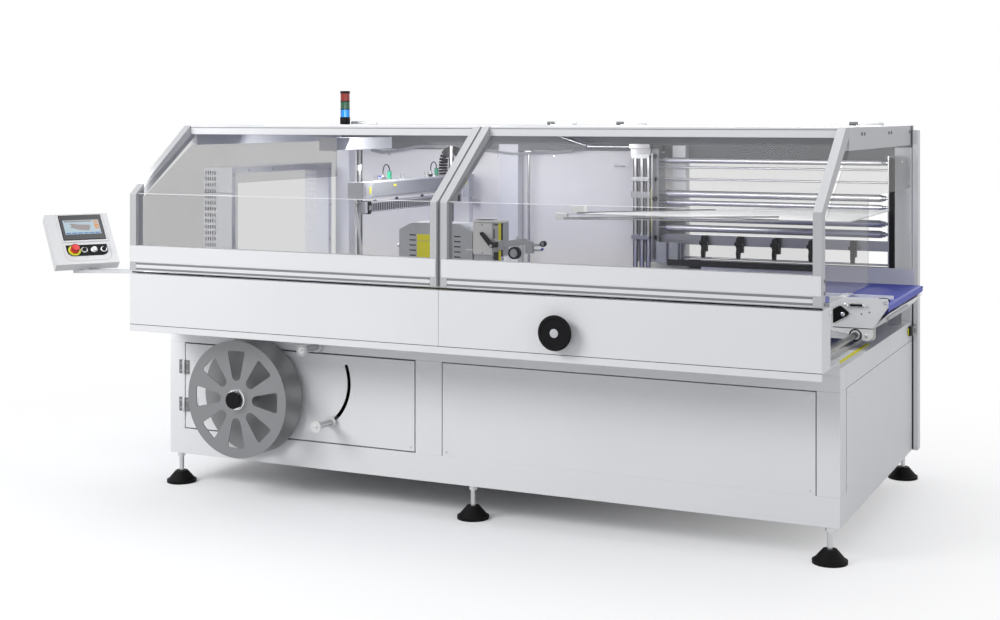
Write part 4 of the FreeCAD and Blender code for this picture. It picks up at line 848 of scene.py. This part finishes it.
piece("window_sill_strip", shadow_gap, (bar, (1890, 1436, 880), (2846, 1443, 921)))
# Two dark grey sheets of painted shade: one on the wall above the window, one under the rear beam
# along the roof.
piece("painted_shade_over_window", beam_shade_grey, (bar, (1770, 1438, 1373), (2846, 1443.5, 1453)),
      (bar, (60, 1394, 1426), (1770, 1440, 1453.6)))
plate_low, plate_high = reach("roller_plates")
piece("window_edge_strip", shadow_gap,
      (bar, (plate_high.x, plate_low.y - 4, 930), (plate_high.x + 22, plate_low.y + 16, 1410)),
      (bar, (1844, 1250.4, 908), (2531, 1252, 936)))
print("rollers capped, five clamps hung")

# %% [markdown]
# ## Film columns
# Three chrome columns carry the film former. Clamp blocks with a grip grasp them at several
# heights, which lets the operator set the film's path by hand. Over them lies a cross tube with
# its bracket, and behind them stand a flat pilaster of the wall and two grey plates with ribs.

# %% Clamp blocks and grips
post_low, post_high = reach("film_columns")
blocks, grips = bmesh.new(), bmesh.new()
for z in (1395, 1290, 1120, 1020):
    bar(blocks, (post_low.x + 4, post_low.y - 8, z), (post_high.x - 4, post_low.y + 40, z + 20))
    turned(grips, (post_high.x - 4, post_low.y + 12, z + 10), RIGHT,
           [(0, 6), (14, 6), (14, 11), (30, 9), (30, 0)], 16)
turned(grips, (post_high.x + 8, post_low.y - 6, 1212), (1, -1, 0),
       [(0, 7), (26, 7), (30, 12), (40, 12), (42, 0)], 16)
fit("column_clamps", blocks, rolled, edge=1)
fit("column_grips", grips, black_plastic)
piece("top_cross_tube", chrome,
      (turned, (1432, 1316, 1448), RIGHT, [(0, 0), (0, 10), (260, 10), (260, 0)], 24),
      (turned, (1418, 1316, 1448), RIGHT, [(0, 0), (2, 10), (12, 15), (24, 10), (26, 0)], 20),
      (turned, (1425, 1316, 1450), (-70, 0, 22), [(0, 7), (70, 7), (70, 12), (96, 12), (100, 7),
        (148, 7), (148, 0)], 18), (bar, (1645, 1290, 1442), (1745, 1330, 1462)),
      (turned, (1083, 1400, 700), UP, [(0, 6), (716, 6), (716, 0)], 16),
      (bar, (1068, 1392, 1414), (1098, 1443, 1422)),
      (turned, (1531, 1400, 1355), RIGHT, [(0, 0), (0, 4), (53, 4), (53, 0)], 12))
piece("wall_pilaster", inner_white, (bar, (914, 1437, 720), (1023, 1443.6, 1436)), edge=1)
piece("pilaster_shade", pale_grey, (bar, (1023, 1441, 720), (1036, 1443.6, 1436)))
piece("column_back_plates", grey_coat, (bar, (1668, 1306, 915), (1786, 1309, 1440)),
      (bar, (1786, 1268, 915), (1920, 1271, 1012)), edge=0.5)
piece("back_plate_ribs", dark_steel,
      *[(bar, (x, 1262, 915), (x + 8, 1268, 1012)) for x in (1836, 1892, 1908)])
print("film columns clamped, cross arm hung")

# %% [markdown]
# ## Operator console
# The console is a turned and tilted box, so its fittings are laid out flat on its face first: how
# far across, how far up, how far proud. The two edges of the face are read from the screen solid,
# which lies in it. Parenting everything to a tilted empty would do the same job, but then a
# reader could no longer see where a fitting is without adding angles in their head.

# %% The face's own ruler
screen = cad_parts["console_screen"]
spots = [off_corner(screen.matrix_world @ v.co) for v in screen.data.vertices]
yaw, tilt = math.radians(57.6), math.radians(42.2)
ACROSS = Vector((math.cos(yaw), math.sin(yaw), 0))
UPHILL = Vector((-math.sin(yaw) * math.sin(tilt), math.cos(yaw) * math.sin(tilt), math.cos(tilt)))
PROUD = ACROSS.cross(UPHILL)
SCREEN = (60, 138, 260, 285)
flat = [Vector((p.dot(ACROSS), p.dot(UPHILL), p.dot(PROUD))) for p in spots]
face_zero = Vector((min(p.x for p in flat) - SCREEN[0], min(p.y for p in flat) - SCREEN[1],
                    max(p.z for p in flat) - 4))
print("console faces", [round(v, 2) for v in PROUD])


def on_face(across, uphill, proud=0.0):
    """A place on the console, in the ruler's millimetres."""
    return ((face_zero.x + across) * ACROSS + (face_zero.y + uphill) * UPHILL
            + (face_zero.z + proud) * PROUD)


def plate(shape, corners, low, high):
    """Flat piece on the console between two heights above its face."""
    closed(shape, [[shape.verts.new(at(*on_face(a, b, level))) for a, b in corners]
                   for level in (low, high)])


def box_corners(left, low, right, high):
    """Outline of an upright rectangle."""
    return [(left, low), (right, low), (right, high), (left, high)]


print("screen corner sits at", [round(v) for v in on_face(SCREEN[0], SCREEN[1], 4)])

# %% Lit and printed colours
def lit(name, colour, strength):
    """A patch of a working display: it shines by itself under a thin glossy sheet."""
    material, nodes, wires = blank(name)
    surface = settle(nodes["Principled BSDF"], Base_Color=(0.02, 0.02, 0.02, 1), Roughness=0.25,
                     Emission_Color=(*colour, 1), Emission_Strength=strength)
    return material


lit_sky = lit("display_sky", (0.52, 0.68, 0.78), 0.72)
lit_grey = lit("display_grey", (0.42, 0.37, 0.37), 0.60)
lit_orange = lit("display_orange", (0.78, 0.31, 0.06), 0.75)
lit_blue = lit("display_blue", (0.08, 0.25, 0.55), 0.70)
bezel_black = grained("display_bezel", (0.022, 0.023, 0.026), 0.30, lift=0.0)
lime_yellow = grained("lime_yellow", (0.62, 0.66, 0.03), 0.38, lift=0.03)
print("display colours:", lit_sky.name, lit_grey.name, lit_orange.name, lit_blue.name)

# %% Moulding, display and its generic picture
piece("display_moulding", warm_white,
      *[(plate, box_corners(*sides), 0, 3) for sides in ((48, 126, 270, 137), (48, 286, 270, 292),
        (48, 137, 59, 286), (261, 137, 270, 286))], edge=1.5)
piece("display_bezel", bezel_black, (plate, box_corners(62, 140, 258, 283), 4, 4.6))
piece("display_field", lit_sky, (plate, box_corners(75, 170, 244, 254), 4.6, 5.0))
piece("display_sketch", lit_grey,
      (plate, [(103, 230), (112, 220), (104, 211), (143, 196), (190, 190), (200, 212), (198, 224),
        (147, 227), (112, 234)], 5.0, 5.3), (plate, box_corners(80, 242, 210, 251), 5.0, 5.3))
piece("display_orange_keys", lit_orange,
      *[(plate, box_corners(219, low, 241, high), 5.0, 5.4) for low, high in ((242, 250),
        (231, 238), (212, 227), (200, 209))])
piece("display_blue_keys", lit_blue,
      *[(plate, box_corners(78 + k * 27.5, 172, 102 + k * 27.5, 180), 5.0, 5.4) for k in range(6)])
print("display shows a plain sketch, four keys and six tabs")

# %% Groove, black plate and four controls
groove = bmesh.new()
bend = 36
path = [(50, 112), (50, 54)]
path += [(50 + bend - bend * math.cos(math.radians(a)), 54 - bend * math.sin(math.radians(a)))
         for a in range(10, 91, 10)]
path += [(318 - a, b) for a, b in reversed(path)]
for one, two in zip(path, path[1:]):
    way = Vector((two[0] - one[0], two[1] - one[1])).normalized() * 0.9
    plate(groove, [(one[0] + way.y, one[1] - way.x), (two[0] + way.y, two[1] - way.x),
                   (two[0] - way.y, two[1] + way.x), (one[0] - way.y, one[1] + way.x)], 0, 0.4)
fit("console_groove", groove, grey_coat)
piece("control_plate", black_plastic,
      (plate, [(62, 110), (62, 74), (66, 60), (76, 50), (92, 45), (226, 45), (242, 50), (252, 60),
        (256, 74), (256, 110)], 0, 1.2), edge=0.6)


def control(name, across, profile, finish, uphill=77):
    """A round button or lamp that stands straight out of the console."""
    piece(name, finish, (turned, on_face(across, uphill), PROUD, profile, 28))


control("stop_ring", 98, [(1.2, 29), (4, 29), (5, 27), (5, 20.2), (1.2, 20.2)], lime_yellow)
control("stop_cap", 98, [(7, 17), (7, 20.6), (25, 20.6), (28.4, 17.5), (28.8, 12), (28.8, 0)],
        red_cap)
control("stop_neck", 98, [(5, 20.3), (7.5, 20.3)], black_plastic)
for index, across in enumerate((144, 190, 236)):
    control("bezel_ring_%d" % index, across, [(1.2, 15.5), (5, 15.5), (7, 13.5), (7, 11.2)], zinc)
control("lamp_cap", 190, [(6, 13), (13, 12), (15, 9), (15, 0)], white_plastic)
control("push_cap", 144, [(6, 11.3), (9.4, 11), (9.4, 8), (8.6, 0)], black_plastic)
piece("selector_lever", black_plastic,
      (plate, [(227, 66), (234, 62), (248, 84), (245, 94), (236, 92)], 7, 18), edge=2)
print("stop button, push button, lamp and selector fitted")

# %% [markdown]
# ## Signal tower
# Three lenses stand on a ribbed black base, the lowest one lit. All three are one solid, so the
# paint reads its height and changes colour there, which a separate material for each lens could
# not do without cutting the solid. A lit lens glows most where we look straight through it.

# %% Lens colours by height
lenses, nodes, wires = blank("signal_lenses")
lens_paint = settle(nodes["Principled BSDF"], Roughness=0.16)
place = nodes.new("ShaderNodeTexCoord")
split = nodes.new("ShaderNodeSeparateXYZ")
height = nodes.new("ShaderNodeMapRange")
lens_low, lens_high = reach("tower_lenses")
settle(height, From_Min=lens_low.z * MM, From_Max=lens_high.z * MM)
join(wires, (place, "Object", split, "Vector"), (split, "Z", height, "Value"))
PAINT = ((0.01, 0.07, 0.36, 1), (0.02, 0.10, 0.05, 1), (0.24, 0.02, 0.015, 1))
LIGHT = ((0.0, 0.36, 0.85, 1), (0, 0, 0, 1), (0, 0, 0, 1))
for socket, colours in (("Base Color", PAINT), ("Emission Color", LIGHT)):
    bands = nodes.new("ShaderNodeValToRGB")
    bands.color_ramp.interpolation = "CONSTANT"
    bands.color_ramp.elements[0].color = colours[0]
    bands.color_ramp.elements[1].position = 1 / 3
    bands.color_ramp.elements[1].color = colours[1]
    top = bands.color_ramp.elements.new(2 / 3)
    top.color = colours[2]
    join(wires, (height, "Result", bands, "Fac"))
    wires.new(bands.outputs["Color"], lens_paint.inputs[socket])
facing = settle(nodes.new("ShaderNodeLayerWeight"), Blend=0.35)
glow = settle(nodes.new("ShaderNodeMapRange"), From_Min=0.0, From_Max=0.6, To_Min=0.85, To_Max=0.05)
join(wires, (facing, "Facing", glow, "Value"), (glow, "Result", lens_paint, "Emission Strength"))
dress(lenses, 0, "tower_lenses")
print("lenses coloured from", round(lens_low.z), "to", round(lens_high.z), "mm up")

# %% Ribs and joints of the tower
tower_x, tower_y = (lens_low.x + lens_high.x) / 2, (lens_low.y + lens_high.y) / 2
ribs = bmesh.new()
for z in (1629, 1670):
    turned(ribs, (tower_x, tower_y, z - 3), UP, [(0, 23.6), (0, 24.3), (5, 24.3), (5, 23.6)], 32)
for k in range(20):
    turn = math.tau * k / 20
    spot = (tower_x + 24.6 * math.cos(turn), tower_y + 24.6 * math.sin(turn), 1553)
    turned(ribs, spot, UP, [(0, 0), (0, 1.6), (31, 1.6), (32, 0)], 8)
turned(ribs, (tower_x, tower_y, 1711.5), UP, [(0, 24), (0, 25.6), (8, 25.6), (10, 25.2)], 32)
fit("tower_ribs", ribs, black_plastic)
print("tower ribbed")

# %% [markdown]
# ## Infeed end
# Here the belt's side plate, the slide under it and the tail board come together. The plate holds
# a slotted pull handle, a black bearing flange and the nose roller's bolt. Below it the carriage
# wears a white cover with a bite taken out for the shaft, and a yellow strip shows the setting.

# %% Side plate fittings
plate_y = reach("infeed_guides")[0].y
piece("plate_openings", shadow_gap, (bar, (2847, plate_y - 0.6, 860), (2895, plate_y, 873)),
      (bar, (2781, plate_y - 1.0, 777.2), (2934, plate_y - 0.2, 779.5)),
      *[(turned, (x, plate_y, z), FRONT, [(0, 3), (0.6, 3), (0.6, 0)], 12) for x, z in ((2891, 833),
        (2921, 841))])
piece("plate_handle", polished, (bar, (2838, plate_y - 12, 871), (2900, plate_y - 8, 875)),
      (bar, (2838, plate_y - 12, 858), (2900, plate_y - 8, 862)),
      *[(turned, (x, plate_y, 866.5), FRONT, [(0, size * 0.6), (6, size * 0.6), (6, size),
         (13, size), (15, size * 0.6), (15, 0)], 18) for x, size in ((2835, 9), (2903, 6))],
      (turned, (2983, plate_y, 882), FRONT, [(0, 11), (1.4, 11), (1.4, 8), (6, 7.4), (6, 4.4),
        (3, 4), (3, 0)], 18), edge=0.6)
piece("bearing_flange", black_plastic,
      (prism, [(2783, 848), (2806, 861), (2814, 861), (2843, 838), (2843, 830), (2836, 823),
        (2783, 793)], plate_y - 9, plate_y), edge=1.5)
screws("flange_bolt", [(2821, plate_y - 9, 830)], FRONT, 17, zinc)
piece("nose_bearing", black_plastic,
      (prism, [(2955, 897), (2989, 897), (2997, 890), (2997, 884), (2985, 893),
        (2955, 893)], plate_y + 6.5, plate_y + 13))
print("side plate fitted at", round(plate_y), "mm back")

# %% Carriage cover, strip and low rail
bite = [(2893 - 18 * (1 - math.cos(math.radians(a))), 752 - 18 * math.sin(math.radians(a)) + 16)
        for a in range(0, 91, 15)]
piece("carriage_cover", white_coat,
      (prism, [(2757, 776), (2935, 776), (2935, 748), (2920, 731), (2897, 731),
        (2893, 738)] + bite + [(2757, 768)], plate_y - 2.4, plate_y - 0.2), edge=0.6)
screws("carriage_bolt", [(2911, plate_y - 2.4, 750)], FRONT, 15, zinc)
piece("slide_bush", black_plastic,
      (turned, (2868, plate_y, 752), FRONT, [(0, 24), (3, 24), (4, 22), (4, 19), (0.5, 18.8)], 28))
piece("setting_strip", yellow_plate, (bar, (2874, 60, 695.2), (2888, 655, 696.4)))
piece("low_rail", satin, (bar, (2822, 104, 695.2), (2842, 900, 704)), edge=1)
piece("low_rail_shadow", shadow_gap, (bar, (2812, 104, 695.2), (2820, 900, 696)))
print("carriage covered, strip is", 655 - 60, "mm long")

# %% Tail board, latch and end bolts
tail = bmesh.new()
slope = Vector((57, 0, 61)).normalized()
out = Vector((slope.z, 0, -slope.x))
foot = Vector((2934, 0, 779)) + out * 0.3
for y0, y1, s0, s1 in ((500, 1240, 2, 8), (500, 1240, 74, 80),
                       (500, 506, 8, 74), (1234, 1240, 8, 74)):
    one, two = foot + slope * s0, foot + slope * s1
    ring = (one, two, two + out * 3, one + out * 3)
    closed(tail, [[tail.verts.new(at(p.x, y, p.z)) for p in ring] for y in (y0, y1)])
fit("tail_board_rim", tail, white_coat, edge=0.8)
middle = foot + slope * 52 + out * 7
piece("tail_tube", satin,
      (turned, (middle.x, 560, middle.z), BACK, [(0, 0), (0, 6), (8, 9), (400, 9), (404, 0)], 20))
piece("latch_block", dark_steel, (bar, (2918.2, 1338, 640), (2936, 1410, 680)),
      (turned, (2936, 1372, 660), RIGHT, [(0, 14), (3, 14), (3, 8), (1, 7), (1, 0)], 20), edge=1.5)
piece("latch_seal", black_plastic, (bar, (2918.2, 1318, 641), (2926, 1337, 682)),
      (bar, (2918.5, 1410.2, 132), (2922.5, 1411.2, 900)))
piece("latch_mark", yellow_plate, (bar, (2918.2, 1303, 645), (2920, 1318, 674)))
screws("fascia_end_bolt", [(2916, -158, 914)], RIGHT, 18, zinc)
print("tail board rimmed, latch on the rear post")

# %% [markdown]
# ## Lines that a pressed machine shows
# Seen from a few metres, a sheet machine is mostly lines: the gap under a cover, the groove in a
# rail, the shadow where two parts meet. The solids leave those gaps in the right places, but soft
# light fills them. Dark inlays lie in the gaps as painted shade.

# %% Sill sheets, painted shade in the grooves and painted highlights on the window folds
POST = 29
fold_glint = grained("fold_glint", (0.88, 0.88, 0.89), 0.2, lift=0.0)
for side, low, high in (("left_hood", 3, 1446), ("right_hood", 1470, 2913)):
    front = reach(side + "_profiles")[0].y
    left, right = low + POST, high - POST
    piece(side + "_sill_sheet", white_coat,
          (bar, (low, front - 1.6, 982), (high, front - 0.2, 1050)), body=side, edge=0.4)
    # The grey lines in the rail's two grooves and under the roof's front edge are painted shade.
    piece(side + "_groove_shade_lines", groove_shade_grey,
          *[(bar, (left, front + 0.6, z + 0.4), (right, front + 5.5, z + 7.6)) for z in (949, 971)],
          (bar, (left, 99.2, 1540), (right, 99.9, 1543)), body=side)
    # The pale strip along each window's bend is a painted highlight.
    piece(side + "_fold_highlight", fold_glint,
          (bar, (left, -260.2, 1266), (right, -258.6, 1268.4)), body=side)
print("sill sheets and grooves on both hoods")

# %% Gaps below the hoods and under the fascia
fascia_low, fascia_high = reach("fascia")
piece("front_gap_lines", shadow_gap,
      (bar, (2, -262, fascia_high.z + 3), (2914, -256, fascia_high.z + 8)),
      (bar, (0.5, fascia_low.y - 0.5, fascia_low.z - 1.4),
       (2915.5, fascia_low.y, fascia_low.z + 0.6)))
print("dark seams along", round(fascia_high.x - fascia_low.x), "mm")

# %% [markdown]
# ## Beam over the sealing station and the edges of the film former
# A pale grey box beam with a white cap hangs under the roof, over the front half of the sealing
# station. The film former is a stack of folded sheets, and only their bright edges show, opening
# from one nose. They are strips in one plane, each from the nose to where it leaves the view.

# %% Box beam and bright edges
piece("seal_top_beam", pale_grey, (bar, (537, 362, 1441), (622, 860, 1495)), edge=3)
piece("top_beam_cap", inner_white, (bar, (535, 356, 1439), (624, 362, 1497)), edge=1)
screws("top_beam_bolts", [(x, 384, 1441) for x in (562, 598)], DOWN, 14, dark_steel)
edges, shades = bmesh.new(), bmesh.new()
piece("former_nose", white_plastic, (bar, (1601, 516, 1157), (1653, 540, 1184)), edge=2)
strips = ((1640, 1157, 2560, 1176, 4), (1640, 1163, 2560, 1190, 3), (1700, 1186, 2300, 1212, 3))
for x1, z1, x2, z2, wide in strips:
    prism(edges, [(x1, z1), (x2, z2), (x2, z2 + wide), (x1, z1 + wide)], 514, 520)
    top1, top2 = z1 + wide, z2 + wide
    prism(shades, [(x1, top1), (x2, top2), (x2, top2 + 3), (x1, top1 + 1)], 515, 520)
fit("former_bright_edges", edges, polished)
# The dark strip beside each bright edge is painted shade.
fit("former_edge_shade", shades, dark_steel)
print(len(strips), "sheet edges open from the nose")

# %% [markdown]
# ## Sizes
# The box round everything that is drawn is measured, leaving out the floor. The dressed machine
# may not outgrow its solids.

# %% Measure the drawn box
low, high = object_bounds()
